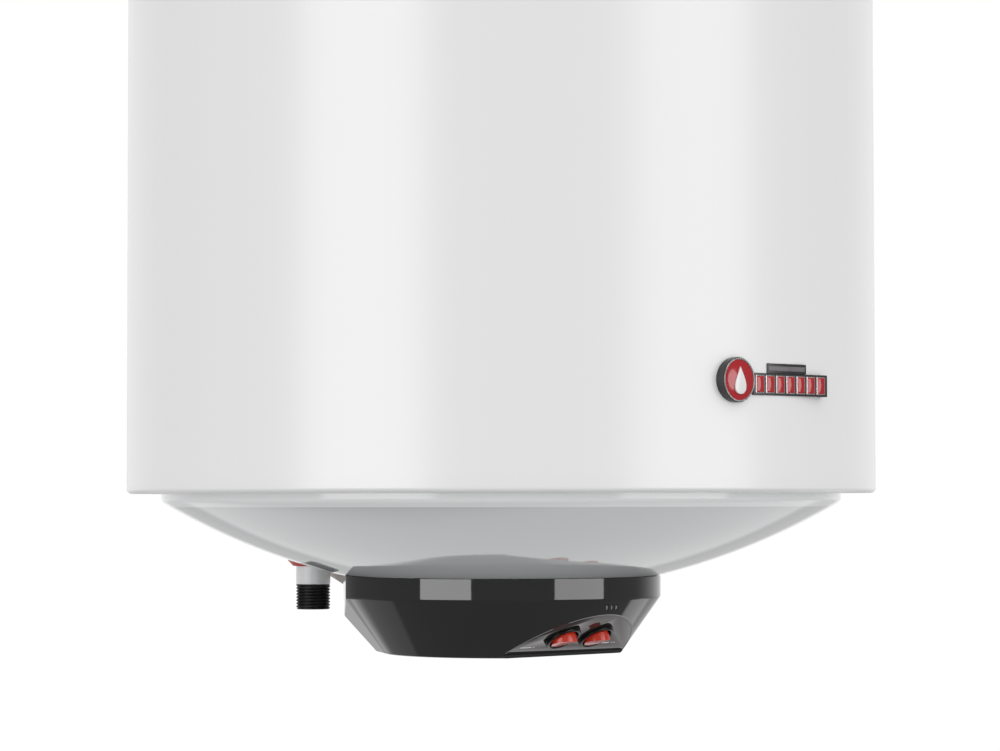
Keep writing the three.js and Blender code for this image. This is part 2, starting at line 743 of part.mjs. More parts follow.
function lensX(i) {
  return (i - (LENS_COUNT - 1) / 2) * LENS_PITCH;
}

function lensHole(i) {
  return block(LENS_W + 2 * GAP, LENS_H + 2 * GAP, -LENS_DEPTH, LENS_DEPTH)
    .rotateZ(LENS_SLANT * RAD).translate(lensX(i), 0, 0).applyMatrix4(lensFrame.matrix);
}

function controlCover() {
  const outer = solid(without(coverHull(0), facetWedge(0), panBowl(COVER_TRIM_GAP)));
  const inner = solid(without(coverHull(COVER_WALL), facetWedge(COVER_WALL + FASCIA_THICK)));
  let cover = outer.subtract(inner);
  const roof = solid(panBowl(COVER_TRIM_GAP));
  for (const x of [-POST_XY.x, POST_XY.x]) {
    cover = cover.add(solid(rod(BOSS_R, COVER_BOTTOM + 1, BOSS_TOP, x, POST_XY.y, 18)));
    cover = cover.subtract(solid(rod(SCREW_HEAD_R + GAP, COVER_BOTTOM - 2, SCREW_SEAT, x, POST_XY.y, 18)));
    cover = cover.subtract(solid(rod(SCREW_R + GAP, COVER_BOTTOM - 2, BOSS_TOP + 2, x, POST_XY.y, 12)));
  }
  cover = cover.subtract(solid(fasciaBlank(FASCIA_BORDER - GAP, FASCIA_START - GAP, FASCIA_THICK + GAP, 1)));
  for (const x of SWITCH_XS) {
    cover = cover.subtract(solid(onFacet(rod(SWITCH_BODY_R + GAP, -20, 2, 0, 0, 28), x, SWITCH_UP)));
  }
  for (let i = 0; i < LENS_COUNT; i += 1) {
    cover = cover.subtract(solid(lensHole(i)));
  }
  const neckHole = rod(GLAND_NECK_R + GAP, -12, 12, 0, 0, 18).applyMatrix4(glandFrame.matrix);
  cover = cover.subtract(solid(neckHole));
  cover = cover.subtract(solid(rod(KNOB_R + 0.4, COVER_BOTTOM - 2, KNOB_TOP, 0, 0, 36)));
  return shape(cover.subtract(roof));
}

function switchHousing() {
  const floor = SWITCH_FLOOR;
  return turned([
    [0, -SWITCH_BODY_DEPTH],
    [SWITCH_BODY_R, -SWITCH_BODY_DEPTH],
    [SWITCH_BODY_R, GAP],
    [BEZEL_R, GAP],
    [BEZEL_R, BEZEL_H - 0.8],
    [BEZEL_R - 0.8, BEZEL_H + GAP],
    [SWITCH_WELL_R + 0.4, BEZEL_H + GAP],
    [SWITCH_WELL_R, BEZEL_H - 0.2],
    [SWITCH_WELL_R, floor],
    [0, floor],
  ], 24);
}

function rocker() {
  const body = turned([
    [0, ROCKER_SKIRT], [ROCKER_R - 0.9, ROCKER_SKIRT], [ROCKER_R, 0], [ROCKER_R, 6], [0, 6],
  ], 28);
  const reach = ROCKER_R + 1;
  const side = [
    [-reach, ROCKER_SKIRT - 1], [reach, ROCKER_SKIRT - 1], [reach, ROCKER_END], [0, ROCKER_MIDDLE],
    [-reach, ROCKER_END],
  ];
  const wedge = new THREE.ExtrudeGeometry(
    new THREE.Shape(side.map(([a, b]) => new THREE.Vector2(a, b))),
    { depth: 2 * reach, bevelEnabled: false },
  ).applyMatrix4(new THREE.Matrix4().makeBasis(
    new THREE.Vector3(0, 1, 0), new THREE.Vector3(0, 0, 1), new THREE.Vector3(1, 0, 0),
  )).translate(-reach, 0, 0);
  return common(body, wedge);
}

function buildCover() {
  add('control_cover', controlCover(), DARK_PLASTIC);
  let fascia = solid(fasciaBlank(FASCIA_BORDER, FASCIA_START, FASCIA_THICK, 0));
  for (const x of SWITCH_XS) {
    fascia = fascia.subtract(solid(onFacet(rod(SWITCH_BODY_R + GAP, -5, 5, 0, 0, 28), x, SWITCH_UP)));
  }
  add('switch_fascia', shape(fascia), [0x1d1e1f, 0.06]);
  SWITCH_XS.forEach((x, i) => {
    add(`switch_housing_${i + 1}`, switchHousing(), BLACK_PLASTIC, facetFrame).position.set(x, SWITCH_UP, 0);
    const paddle = add(`switch_rocker_${i + 1}`, rocker(), [0xe0341c, 0.2], facetFrame);
    paddle.position.set(x, SWITCH_UP, ROCKER_PIVOT);
    paddle.rotation.x = ROCKER_TILT * RAD;
  });
  for (let i = 0; i < LENS_COUNT; i += 1) {
    const pane = block(LENS_W, LENS_H, -LENS_DEPTH, -LENS_SUNK);
    const lens = add(`indicator_lens_${i + 1}`, pane, PALE_PLASTIC, lensFrame);
    lens.position.x = lensX(i);
    lens.rotation.z = LENS_SLANT * RAD;
  }
  const boardTop = -LENS_DEPTH - GAP;
  add('indicator_board', block(BOARD.x, BOARD.y, boardTop - BOARD.z, boardTop), [0x1f6b3a, 0.5], lensFrame);
  const gland = turned([
    [0, -9], [GLAND_NECK_R, -9], [GLAND_NECK_R, 2.2], [GLAND_BASE_R, 2.2], [GLAND_BASE_R, 6],
    [GLAND_TIP_R, GLAND_LENGTH], [GLAND_MOUTH_R, GLAND_LENGTH],
    [GLAND_MOUTH_R, GLAND_LENGTH - GLAND_MOUTH_DEPTH], [0, GLAND_LENGTH - GLAND_MOUTH_DEPTH],
  ], 18);
  add('cable_gland', gland, PALE_PLASTIC, glandFrame);
}

// ---- thermostat, terminals and leads inside the cover ----
function thermostatBody() {
  const low = THERMOSTAT_TOP - THERMOSTAT.z;
  return without(
    block(THERMOSTAT.x, THERMOSTAT.y, low, THERMOSTAT_TOP),
    rod(SPINDLE_R + GAP, low - 1, SPINDLE_TOP + 1, 0, 0, 16),
    rod(RESET_R + GAP, low - 1, low + RESET_LENGTH - RESET_OUT + RESET_TRAVEL + 1, RESET_XY.x, RESET_XY.y, 16),
  );
}

function thermostatKnob() {
  const low = COVER_BOTTOM + KNOB_RECESS;
  return without(
    rod(KNOB_R, low, KNOB_TOP, 0, 0, 32),
    block(KNOB_SLOT.x, KNOB_SLOT.y, low - 1, low + KNOB_SLOT.z),
  );
}

function coverScrew() {
  const head = COVER_BOTTOM + SCREW_SINK;
  return without(
    joined(
      rod(SCREW_HEAD_R, head, head + SCREW_HEAD_H, 0, 0, 16),
      rod(SCREW_R, head + 1, SCREW_TOP, 0, 0, 10),
    ),
    block(5, 1, head - 1, head + 1),
    block(1, 5, head - 1, head + 1),
  );
}

function coverPost() {
  const low = BOSS_TOP + GAP;
  return without(
    rod(POST_R, low, PLATE_LOW - GAP, 0, 0, 18),
    rod(POST_BORE, low - 1, low + POST_DEPTH, 0, 0, 12),
  );
}

function lead(name, points, colour) {
  add(name, tube(points, LEAD_R, 9, 5), [colour, 0.6]);
}

function buildElectrics() {
  const low = THERMOSTAT_TOP - THERMOSTAT.z;
  add('thermostat_body', thermostatBody(), BLACK_PLASTIC);
  const probeLow = THERMOSTAT_TOP + GAP;
  add('thermostat_probe', rod(PROBE_R, probeLow, WELL_TOP - 15, 0, 0, 10), BRIGHT_STEEL);
  add('thermostat_knob', thermostatKnob(), BLACK_PLASTIC);
  add('thermostat_spindle', rod(SPINDLE_R, KNOB_TOP + GAP, SPINDLE_TOP, 0, 0, 14), PALE_PLASTIC);
  const button = rod(RESET_R, low - RESET_OUT, low - RESET_OUT + RESET_LENGTH, 0, 0, 14);
  add('reset_button', button, RED).position.set(RESET_XY.x, RESET_XY.y, 0);
  [-POST_XY.x, POST_XY.x].forEach((x, i) => {
    add(`cover_post_${i + 1}`, coverPost(), BRIGHT_STEEL).position.set(x, POST_XY.y, 0);
    add(`cover_screw_${i + 1}`, coverScrew(), BRIGHT_STEEL).position.set(x, POST_XY.y, 0);
  });
  add('terminal_block', block(BLOCK.x, BLOCK.y, BLOCK_TOP - BLOCK.z, BLOCK_TOP, 0, BLOCK_Y), PALE_PLASTIC);

  const blockFace = BLOCK_Y - BLOCK.y / 2 - LEAD_GAP;
  const rear = THERMOSTAT.y / 2 + LEAD_GAP;
  const leadZ = THERMOSTAT_TOP - 5;
  for (const [name, x, colour] of [['supply_lead', -10, 0x6b3b1e], ['neutral_lead', 10, 0x2f57a8]]) {
    lead(name, [
      new THREE.Vector3(x, blockFace, BLOCK_TOP - 9),
      new THREE.Vector3(x, blockFace - 8, BLOCK_TOP - 14),
      new THREE.Vector3(x, (blockFace + rear) / 2, leadZ - 4),
      new THREE.Vector3(x, rear + 6, leadZ),
      new THREE.Vector3(x, rear, leadZ),
    ], colour);
  }
  SWITCH_XS.forEach((x, i) => {
    const startX = [-12, 8][i];
    const deep = -SWITCH_BODY_DEPTH - LEAD_GAP;
    lead(`switch_lead_${i + 1}`, [
      new THREE.Vector3(startX, -rear, leadZ),
      new THREE.Vector3(startX, -rear - 8, leadZ),
      facetPoint((startX + x) / 2, SWITCH_UP - 3, deep - 8),
      facetPoint(x, SWITCH_UP, deep - 4),
      facetPoint(x, SWITCH_UP, deep),
    ], 0x222222);
  });
}

// ---- badge: a flat piece whose back is shaped to the casing ----
function againstCasing(geometry) {
  const sides = 2 * ROUND;
  const round = rod((CASING_R + GAP) / Math.cos(Math.PI / sides), -60, 60, 0, 0, sides).rotateX(-Math.PI / 2);
  return without(geometry, round).rotateX(Math.PI / 2);
}

function badgePlate(left, right, low, high, rise) {
  const face = CASING_R + rise;
  return againstCasing(block(right - left, high - low, face - 8, face, (left + right) / 2, (low + high) / 2));
}

function buildBadge() {
  const badge = new THREE.Group();
  badge.position.z = BADGE_Z;
  badge.rotation.z = BADGE_TURN * RAD;
  heater.add(badge);
  const discX = -BADGE_HALF + BADGE_DISC_R;
  const discFace = CASING_R + BADGE_FACE + BADGE_DISC_RISE;
  const disc = rod(BADGE_DISC_R, discFace - 12, discFace, discX, 0, 30);
  add('badge_disc', againstCasing(disc), RED, badge);
  const barLeft = discX + BADGE_DISC_R + GAP;
  add('badge_bar', badgePlate(barLeft, BADGE_HALF, BADGE_BAR_LOW, BADGE_BAR_HIGH, BADGE_FACE), BLACK_PLASTIC, badge);
  const [left, right] = BADGE_STRIP;
  const strip = badgePlate(left, right, BADGE_BAR_HIGH + GAP, BADGE_STRIP_HIGH, BADGE_FACE);
  add('badge_strip', strip, BLACK_PLASTIC, badge);
}

// ---- wall brackets ----
function bracket() {
  const angle = boltAngle();
  const foot = new THREE.Vector2(Math.sin(angle * RAD), Math.cos(angle * RAD));
  const along = new THREE.Vector2(foot.y, -foot.x);
  const seat = foot.clone().multiplyScalar(CASING_R + GAP + 0.1);
  const inner = seat.clone().addScaledVector(along, -FOOT_LENGTH / 2);
  const outer = seat.clone().addScaledVector(along, FOOT_LENGTH / 2);
  const lift = foot.clone().multiplyScalar(BRACKET_SHEET);
  const half = [
    new THREE.Vector2(BRACKET_HALF, WALL_Y),
    inner.clone().add(lift),
    outer.clone().add(lift),
    outer,
    inner.clone().addScaledVector(along, -BRACKET_SHEET * 0.6),
    new THREE.Vector2(BRACKET_HALF - BRACKET_SHEET * 0.7, WALL_Y - BRACKET_SHEET),
  ];
  const mirrored = half.slice().reverse().map((p) => new THREE.Vector2(-p.x, p.y));
  const plate = prism([...half, ...mirrored], -BRACKET_H / 2, BRACKET_H / 2);
  const slots = SLOT_XS.map((x) => new THREE.BoxGeometry(SLOT_W, 20, SLOT_H).translate(x, WALL_Y, 0));
  const holes = [-1, 1].map((side) => radialBolt(BRACKET_BOLT_R + GAP, CASING_R - 4, CASING_R + 12, side, 0));
  return without(plate, ...slots, ...holes);
}

function bracketBolt(sign) {
  const out = CASING_R + 2 * GAP + 0.1 + BRACKET_SHEET;
  return joined(
    radialBolt(BRACKET_BOLT_R, TANK_R + GAP + 0.1, out + 1, sign, 0),
    radialBolt(BRACKET_NUT_R, out, out + BRACKET_NUT_H, sign, 0, 6),
  );
}

function buildBrackets() {
  add('upper_wall_bracket', bracket(), WHITE_ENAMEL).position.z = UPPER_BRACKET_Z;
  add('lower_wall_bracket', bracket(), WHITE_ENAMEL).position.z = LOWER_BRACKET_Z;
  for (const { level, side, sign, z } of BOLT_PLACES) {
    add(`${level}_bracket_bolt_${side}`, bracketBolt(sign), BRIGHT_STEEL).position.z = z;
  }
}

buildShell();
buildFlange();
buildWater();
buildCover();
buildElectrics();
buildBadge();
buildBrackets();

export default heater;
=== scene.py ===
import json
import math
import bmesh
import bpy
from mathutils import Matrix, Vector


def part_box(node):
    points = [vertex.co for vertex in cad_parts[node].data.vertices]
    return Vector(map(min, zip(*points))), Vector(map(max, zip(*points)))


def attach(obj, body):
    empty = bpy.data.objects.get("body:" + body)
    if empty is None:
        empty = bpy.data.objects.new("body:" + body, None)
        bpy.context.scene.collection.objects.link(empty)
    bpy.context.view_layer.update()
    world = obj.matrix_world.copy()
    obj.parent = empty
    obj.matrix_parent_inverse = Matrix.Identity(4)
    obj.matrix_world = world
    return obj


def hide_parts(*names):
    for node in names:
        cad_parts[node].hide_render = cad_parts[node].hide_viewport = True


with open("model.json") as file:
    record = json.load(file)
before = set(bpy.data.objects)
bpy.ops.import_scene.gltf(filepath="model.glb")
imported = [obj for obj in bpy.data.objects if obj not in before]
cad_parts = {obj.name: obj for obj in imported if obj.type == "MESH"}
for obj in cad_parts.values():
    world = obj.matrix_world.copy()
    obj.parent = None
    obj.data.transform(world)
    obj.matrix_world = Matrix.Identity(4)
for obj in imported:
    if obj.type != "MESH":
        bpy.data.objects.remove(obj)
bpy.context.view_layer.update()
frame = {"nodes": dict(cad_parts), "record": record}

# ---- sizes in millimetres; heights are from the casing's lower edge, and the axis is the tank's ----
MM = 0.001
casing_low, casing_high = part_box("outer_casing")
AXIS = Vector((0.0, (casing_low.y + casing_high.y) / 2, casing_low.z))
CASING_R = (casing_high.x - casing_low.x) / 2 / MM
CASING_H = (casing_high.z - casing_low.z) / MM
CASING_CORNER = 3.0
SHEET = 1.0
LIP_R = CASING_R - 20.2
LIP_HIDDEN = 10.0
PAN_R = LIP_R - 0.5
PAN_DEPTH = 60.7
PAN_SPHERE_R = 401.7
PAN_CORNER = 3.5
PAN_OPENING_R = 80.0
CAP_RISE = 22.0
CAP_STEPS = 24

COVER_BOTTOM = -95.9
COVER_EDGE = -61.8
COVER_BAND_R = 96.2
COVER_SIDE_R = 126.0
COVER_SIDE_ANGLE = 75.0
COVER_LOW_R = 72.0
COVER_CORNER = (92.0, 37.6)
COVER_BACK = (53.0, 84.7, -74.4)
COVER_BACK_DRAFT = 1.3
COVER_LOW_CORNER = (60.2, 37.4)
COVER_LOW_BACK = (44.8, 62.8)
COVER_WALL = 2.5
COVER_GAP = 0.35
SIDE_STEPS = 40
FLANK_STEPS = 14
BACK_STEPS = 10

FACET_FRONT_Y = -53.0
FACET_LIP = 1.9
FACET_SLOPE = math.radians(32.3)
FASCIA_THICK = 1.0
FASCIA_BORDER = 0.4
FASCIA_START = 0.1
SWITCH_XS = (-16.3, 11.1)
SWITCH_UP = 18.65
SWITCH_BODY_R = 9.8
SWITCH_HOLE_R = 10.1
ROCKER_PIVOT = 1.0
ROCKER_TILT = math.radians(19)
ROCKER_R = 7.8
LENS_Z = -66.5
LENS_PITCH = 3.9
LENS_SLANT = math.radians(29)
KNOB_R = 13.0
KNOB_BOTTOM = -95.6
KNOB_TOP = -90.5
SCREW_XS = (-40.0, 40.0)
SCREW_Y = 20.0
GLAND = (-30.0, 84.7, -58.4)
GLAND_TILT = math.radians(16.5)
PIPE_X = 50.0
PIPE_Y = 116.0
PIPE_R = 10.65
PIPE_END = -71.2
THREAD_LENGTH = 15.2
THREAD_PITCH = 1.9
THREAD_DEPTH = 0.95
COLLAR_END = -44.5
COLLAR_END_R = 12.4
COLLAR_SLOPE = 0.95
COLLAR_NECK_R = 12.2
COLLAR_TOP = -26.0
BADGE_Z = 61.5
BADGE_TURN = math.radians(-1.8)
BADGE_HALF = 42.6
BADGE_FACE = 1.2
BADGE_PLATE = -0.6
BADGE_DISC_R = 12.4
BADGE_BAR = (-8.0, 4.2)
BADGE_TILES = 7
SHARP = math.radians(32)


def to_row(x, y, z):
    return AXIS + Vector((x, y, z)) * MM


# ---- mesh helpers: every mesh is written in millimetres from the tank's axis and lower edge ----
def new_object(name, bm, smooth=True, sharp=SHARP):
    bmesh.ops.recalc_face_normals(bm, faces=bm.faces)
    mesh = bpy.data.meshes.new(name)
    bm.to_mesh(mesh)
    bm.free()
    mesh.transform(Matrix.Translation(AXIS) @ Matrix.Scale(MM, 4))
    obj = bpy.data.objects.new(name, mesh)
    bpy.context.scene.collection.objects.link(obj)
    if smooth:
        mesh.shade_smooth()
        mesh.set_sharp_from_angle(angle=sharp)
    return obj


def polar(radius, angle):
    return (radius * math.cos(angle), radius * math.sin(angle))


def smooth_again(obj, sharp=SHARP):
    obj.data.shade_smooth()
    obj.data.set_sharp_from_angle(angle=sharp)


def weigh_normals(obj):
    """Lets the broad faces keep their own shading next to narrow rounded edges."""
    step = obj.modifiers.new("weigh", "WEIGHTED_NORMAL")
    step.keep_sharp = True
    step.weight = 90
    apply_modifiers(obj)


def apply_modifiers(obj):
    graph = bpy.context.evaluated_depsgraph_get()
    mesh = bpy.data.meshes.new_from_object(obj.evaluated_get(graph))
    obj.modifiers.clear()
    obj.data = mesh
    mesh.name = obj.name


def cut(obj, *tools, operation="DIFFERENCE"):
    for tool in tools:
        step = obj.modifiers.new("cut", "BOOLEAN")
        step.operation = operation
        step.solver = "EXACT"
        step.object = tool
    apply_modifiers(obj)
    for tool in tools:
        bpy.data.objects.remove(tool)
    return obj


def soften(obj, width, segments=2, angle=30):
    step = obj.modifiers.new("soften", "BEVEL")
    step.width = width * MM
    step.segments = segments
    step.limit_method = "ANGLE"
    step.angle_limit = math.radians(angle)
    step.harden_normals = False
    apply_modifiers(obj)
    smooth_again(obj)
    return obj


def ring_grid(bm, rings, close_rings=False, cap_ends=False):
    """Joins rings of the same number of points into a band of quads."""
    rows = [[bm.verts.new(p) for p in ring] for ring in rings]
    count = len(rows[0])
    steps = len(rows) if close_rings else len(rows) - 1
    for i in range(steps):
        a, b = rows[i], rows[(i + 1) % len(rows)]
        for j in range(count):
            k = (j + 1) % count
            bm.faces.new((a[j], a[k], b[k], b[j]))
    if cap_ends:
        bm.faces.new(rows[0])
        bm.faces.new(rows[-1])
    return rows


def lathe(name, outline, sides=192, matrix=None, sharp=SHARP):
    """Turns a closed outline of (radius, height) about Z. Points at radius 0 become one vertex."""
    bm = bmesh.new()
    rows = []
    for radius, height in outline:
        if radius < 1e-6:
            rows.append([bm.verts.new((0, 0, height))])
            continue
        row = []
        for j in range(sides):
            row.append(bm.verts.new((*polar(radius, 2 * math.pi * j / sides), height)))
        rows.append(row)
    on_axis = len(rows[0]) == 1 and len(rows[-1]) == 1
    for i in range(len(rows) - 1 if on_axis else len(rows)):
        a, b = rows[i], rows[(i + 1) % len(rows)]
        for j in range(sides):
            k = (j + 1) % sides
            if len(a) == 1:
                bm.faces.new((a[0], b[k], b[j]))
            elif len(b) == 1:
                bm.faces.new((a[j], a[k], b[0]))
            else:
                bm.faces.new((a[j], a[k], b[k], b[j]))
    if matrix is not None:
        bmesh.ops.transform(bm, matrix=matrix, verts=bm.verts)
    return new_object(name, bm, sharp=sharp)


def arc(centre, radius, start, end, steps):
    points = []
    for i in range(steps + 1):
        x, y = polar(radius, math.radians(start + (end - start) * i / steps))
        points.append((centre[0] + x, centre[1] + y))
    return points


def box_piece(name, size, matrix):
    bm = bmesh.new()
    bmesh.ops.create_cube(bm, size=1.0)
    bmesh.ops.scale(bm, vec=size, verts=bm.verts)
    bmesh.ops.transform(bm, matrix=matrix, verts=bm.verts)
    return new_object(name, bm)


def rod_piece(name, radius, low, high, matrix, sides=64):
    return lathe(name, [(0, low), (radius, low), (radius, high), (0, high)], sides, matrix)


def pan_height(radius, offset=0.0):
    sphere = PAN_SPHERE_R + offset
    return PAN_SPHERE_R - PAN_DEPTH - math.sqrt(sphere ** 2 - radius ** 2)


def leaning(place, angle):
    return Matrix.Translation(place) @ Matrix.Rotation(angle, 4, "X")


# frames of the fascia's face, of the middle indicator window and of the cable gland
FACET = leaning((0, FACET_FRONT_Y, COVER_BOTTOM + FACET_LIP), math.pi - FACET_SLOPE)
TAPER = (COVER_BAND_R - COVER_LOW_R) / (COVER_EDGE - COVER_BOTTOM)
LENS_Y = -COVER_LOW_R - TAPER * (LENS_Z - COVER_BOTTOM)
LENS_FRAME = leaning((0, LENS_Y, LENS_Z), math.pi / 2 + math.atan(TAPER))
GLAND_FRAME = leaning(GLAND, GLAND_TILT - math.pi / 2)


# ---- materials ----
class Nodes:
    """A short way to write a material's node tree."""

    def __init__(self, name):
        self.material = bpy.data.materials.new(name)
        self.material.use_nodes = True
        self.tree = self.material.node_tree
        self.shader = self.tree.nodes["Principled BSDF"]
        self.coords = self.tree.nodes.new("ShaderNodeTexCoord")

    def node(self, kind, **values):
        made = self.tree.nodes.new(kind)
        for key, value in values.items():
            if hasattr(made, key):
                setattr(made, key, value)
            else:
                made.inputs[key.replace("_", " ")].default_value = value
        return made

    def link(self, a, b):
        self.tree.links.new(a, b)

    def stretched(self, scale):
        mapping = self.node("ShaderNodeMapping", Scale=scale)
        self.link(self.coords.outputs["Object"], mapping.inputs["Vector"])
        return mapping.outputs["Vector"]

    def noise(self, scale, detail=3.0, vector=None):
        made = self.node("ShaderNodeTexNoise", Scale=scale, Detail=detail)
        self.link(vector or self.coords.outputs["Object"], made.inputs["Vector"])
        return made.outputs["Fac"]

    def spread(self, value, low, high):
        made = self.node("ShaderNodeMapRange", From_Min=0.3, From_Max=0.7, To_Min=low, To_Max=high)
        self.link(value, made.inputs["Value"])
        return made.outputs["Result"]

    def blend(self, value, colour_a, colour_b):
        made = self.node("ShaderNodeMix", data_type="RGBA")
        first, second = [socket for socket in made.inputs if socket.type == "RGBA"]
        first.default_value = (*colour_a, 1)
        second.default_value = (*colour_b, 1)
        self.link(value, made.inputs["Factor"])
        return next(socket for socket in made.outputs if socket.type == "RGBA")

    def bump(self, value, distance):
        made = self.node("ShaderNodeBump", Distance=distance, Strength=1.0)
        self.link(value, made.inputs["Height"])
        self.link(made.outputs["Normal"], self.shader.inputs["Normal"])

    def set(self, **values):
        for key, value in values.items():
            self.shader.inputs[key.replace("_", " ")].default_value = value


def shade(colour, factor):
    return tuple(min(1.0, c * factor) for c in colour)


def paint(name, colour, roughness, vary=0.02, grain=500.0, peel=0.00001, uneven=0.04, **values):
    made = Nodes(name)
    wide = made.noise(9.0, 2.0)
    made.link(made.blend(wide, shade(colour, 1 - vary), shade(colour, 1 + vary)),
              made.shader.inputs["Base Color"])
    made.link(made.spread(made.noise(35.0), roughness * (1 - uneven), roughness * (1 + uneven)),
              made.shader.inputs["Roughness"])
    made.bump(made.noise(grain, 2.0), peel)
    made.set(**values)
    return made.material


def plastic(name, colour, roughness, vary=0.06, grain=1500.0, depth=0.000006, **values):
    made = Nodes(name)
    made.link(made.blend(made.noise(60.0), shade(colour, 1 - vary), shade(colour, 1 + vary)),
              made.shader.inputs["Base Color"])
    made.link(made.spread(made.noise(140.0, 4.0), roughness * 0.8, roughness * 1.25),
              made.shader.inputs["Roughness"])
    made.bump(made.noise(grain, 2.0), depth)
    made.set(**values)
    return made.material


def metal(name, colour, roughness, streak=(900, 900, 30), vary=0.1, depth=0.00001, metallic=1.0):
    made = Nodes(name)
    drawn = made.noise(1.0, 4.0, made.stretched(streak))
    patches = made.noise(220.0, 3.0)
    made.link(made.blend(patches, shade(colour, 1 - vary), shade(colour, 1 + vary)),
              made.shader.inputs["Base Color"])
    made.link(made.spread(drawn, roughness * 0.75, roughness * 1.3), made.shader.inputs["Roughness"])
    made.bump(drawn, depth)
    made.set(Metallic=metallic)
    return made.material


def foam_material():
    made = Nodes("foam")
    cells = made.node("ShaderNodeTexVoronoi", Scale=300.0)
    made.link(made.coords.outputs["Object"], cells.inputs["Vector"])
    made.link(made.blend(cells.outputs["Distance"], (0.62, 0.5, 0.28), (0.85, 0.76, 0.5)),
              made.shader.inputs["Base Color"])
    made.bump(cells.outputs["Distance"], 0.0006)
    made.set(Roughness=0.95)
    return made.material


MATERIALS = {
    "casing_enamel": paint("casing_enamel", (0.80, 0.80, 0.80), 0.26, vary=0.004, peel=0.000001),
    # cap enamel: the casing's white enamel made darker and duller, painted shade for the top, which takes the
    # strong light from above
    "cap_enamel_painted_shade": paint("cap_enamel_painted_shade", (0.63, 0.63, 0.63), 0.6, vary=0.004, peel=0.000001,
                        Specular_IOR_Level=0.08),
    "pan_paint": paint("pan_paint", (0.655, 0.67, 0.68), 0.06, vary=0.008, peel=0.0000008, IOR=1.65),
    # pan rim: the pan's paint made brighter for the rim strip, painted light for the light that strip catches
    # below the casing's edge
    "pan_rim_painted_light": paint("pan_rim_painted_light", (0.93, 0.945, 0.95), 0.1, vary=0.004, peel=0.0000008),
    "bracket_paint": paint("bracket_paint", (0.74, 0.75, 0.75), 0.32, vary=0.03, peel=0.00003),
    "foam": foam_material(),
    "tank_enamel": paint("tank_enamel", (0.03, 0.05, 0.08), 0.2, vary=0.2, peel=0.00004),
    "zinc_steel": metal("zinc_steel", (0.93, 0.94, 0.95), 0.34, vary=0.04, metallic=0.25),
    "black_thread": metal("black_thread", (0.022, 0.021, 0.021), 0.4, vary=0.3, depth=0.000002, metallic=0.5),
    "copper_sheath": metal("copper_sheath", (0.72, 0.42, 0.26), 0.3),
    "magnesium": metal("magnesium", (0.42, 0.42, 0.41), 0.7),
    "gasket_rubber": plastic("gasket_rubber", (0.02, 0.02, 0.02), 0.8),
    "cover_plastic": plastic("cover_plastic", (0.0122, 0.0122, 0.0128), 0.05, vary=0.08,
                             depth=0.0000005, IOR=1.74),
    "fascia_plastic": plastic("fascia_plastic", (0.042, 0.034, 0.034), 0.05, vary=0.03, depth=0.0000003,
                              IOR=1.39, Specular_Tint=(1, 0.93, 0.93, 1)),
    "bezel_gloss": plastic("bezel_gloss", (0.006, 0.006, 0.006), 0.3, vary=0.1, depth=0.000001, IOR=1.35),
    "black_plastic": plastic("black_plastic", (0.012, 0.012, 0.012), 0.22, vary=0.15),
    "rocker_red": plastic("rocker_red", (0.62, 0.035, 0.014), 0.22, vary=0.02, depth=0.0000005,
                          Coat_Weight=0.15, Subsurface_Weight=0.25, Subsurface_Scale=0.004),
    "button_red": plastic("button_red", (0.5, 0.03, 0.015), 0.1, Coat_Weight=0.4),
    "lens_clear": plastic("lens_clear", (0.3, 0.3, 0.3), 0.2, vary=0.04),
    "collar_red": plastic("collar_red", (0.52, 0.05, 0.045), 0.4),
    "collar_blue": plastic("collar_blue", (0.03, 0.1, 0.42), 0.4),
    "pale_plastic": plastic("pale_plastic", (0.62, 0.585, 0.55), 0.5),
    "badge_red": plastic("badge_red", (0.4, 0.008, 0.014), 0.12, Coat_Weight=0.6),
    "badge_chrome": metal("badge_chrome", (0.6, 0.58, 0.58), 0.25, vary=0.03, depth=0.000001),
    "badge_white": plastic("badge_white", (0.8, 0.79, 0.79), 0.2, vary=0.02),
    "badge_grey": plastic("badge_grey", (0.16, 0.15, 0.16), 0.3, vary=0.15),
    "badge_side": plastic("badge_side", (0.03, 0.028, 0.03), 0.25),
    "label_white": plastic("label_white", (0.72, 0.72, 0.72), 0.4, vary=0.03),
    "board_green": plastic("board_green", (0.02, 0.16, 0.05), 0.35),
    "lead_insulation": plastic("lead_insulation", (0.12, 0.05, 0.02), 0.45),
}


def finish_piece(obj, material, body, slot, *nodes):
    obj.data.materials.clear()
    obj.data.materials.append(MATERIALS[material])
    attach(obj, body)
    if nodes:
        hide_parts(*nodes)
    return obj


def repaint(obj, material, chosen):
    """Gives a second material to the faces whose centres are chosen."""
    obj.data.materials.append(MATERIALS[material])
    for face in obj.data.polygons:
        if chosen(face.center):
            face.material_index = 1


def dress_cad():
    slots = {part["node"]: part["material_slot"] for part in frame["record"]["subparts"]}
    for name, obj in frame["nodes"].items():
        obj.data.materials.clear()
        obj.data.materials.append(MATERIALS[slots[name]])


# ---- casing, pan and cap ----
def build_casing():
    corner, sheet, top = CASING_CORNER, SHEET, CASING_H
    inner = CASING_R - sheet
    outline = [(LIP_R, 0)]
    outline += arc((CASING_R - corner, corner), corner, -90, 0, 8)
    outline += [(CASING_R, 12), (CASING_R, top - 12)]
    outline += arc((CASING_R - corner, top - corner), corner, 0, 90, 8)
    outline += [(LIP_R, top), (LIP_R, top - sheet)]
    outline += [(inner - corner, top - sheet), (inner, top - corner)]
    outline += [(inner, corner), (inner - corner, sheet)]
    outline += [(LIP_R, sheet)]
    casing = lathe("casing_shell", outline, 288)
    finish_piece(casing, "casing_enamel", "heater", "casing_enamel", "outer_casing")
    # the casing's upper rounded edge takes the darker cap enamel: painted shade for the light from above
    limit = to_row(0, 0, top - corner / 2).z
    repaint(casing, "cap_enamel_painted_shade", lambda centre: centre.z > limit)


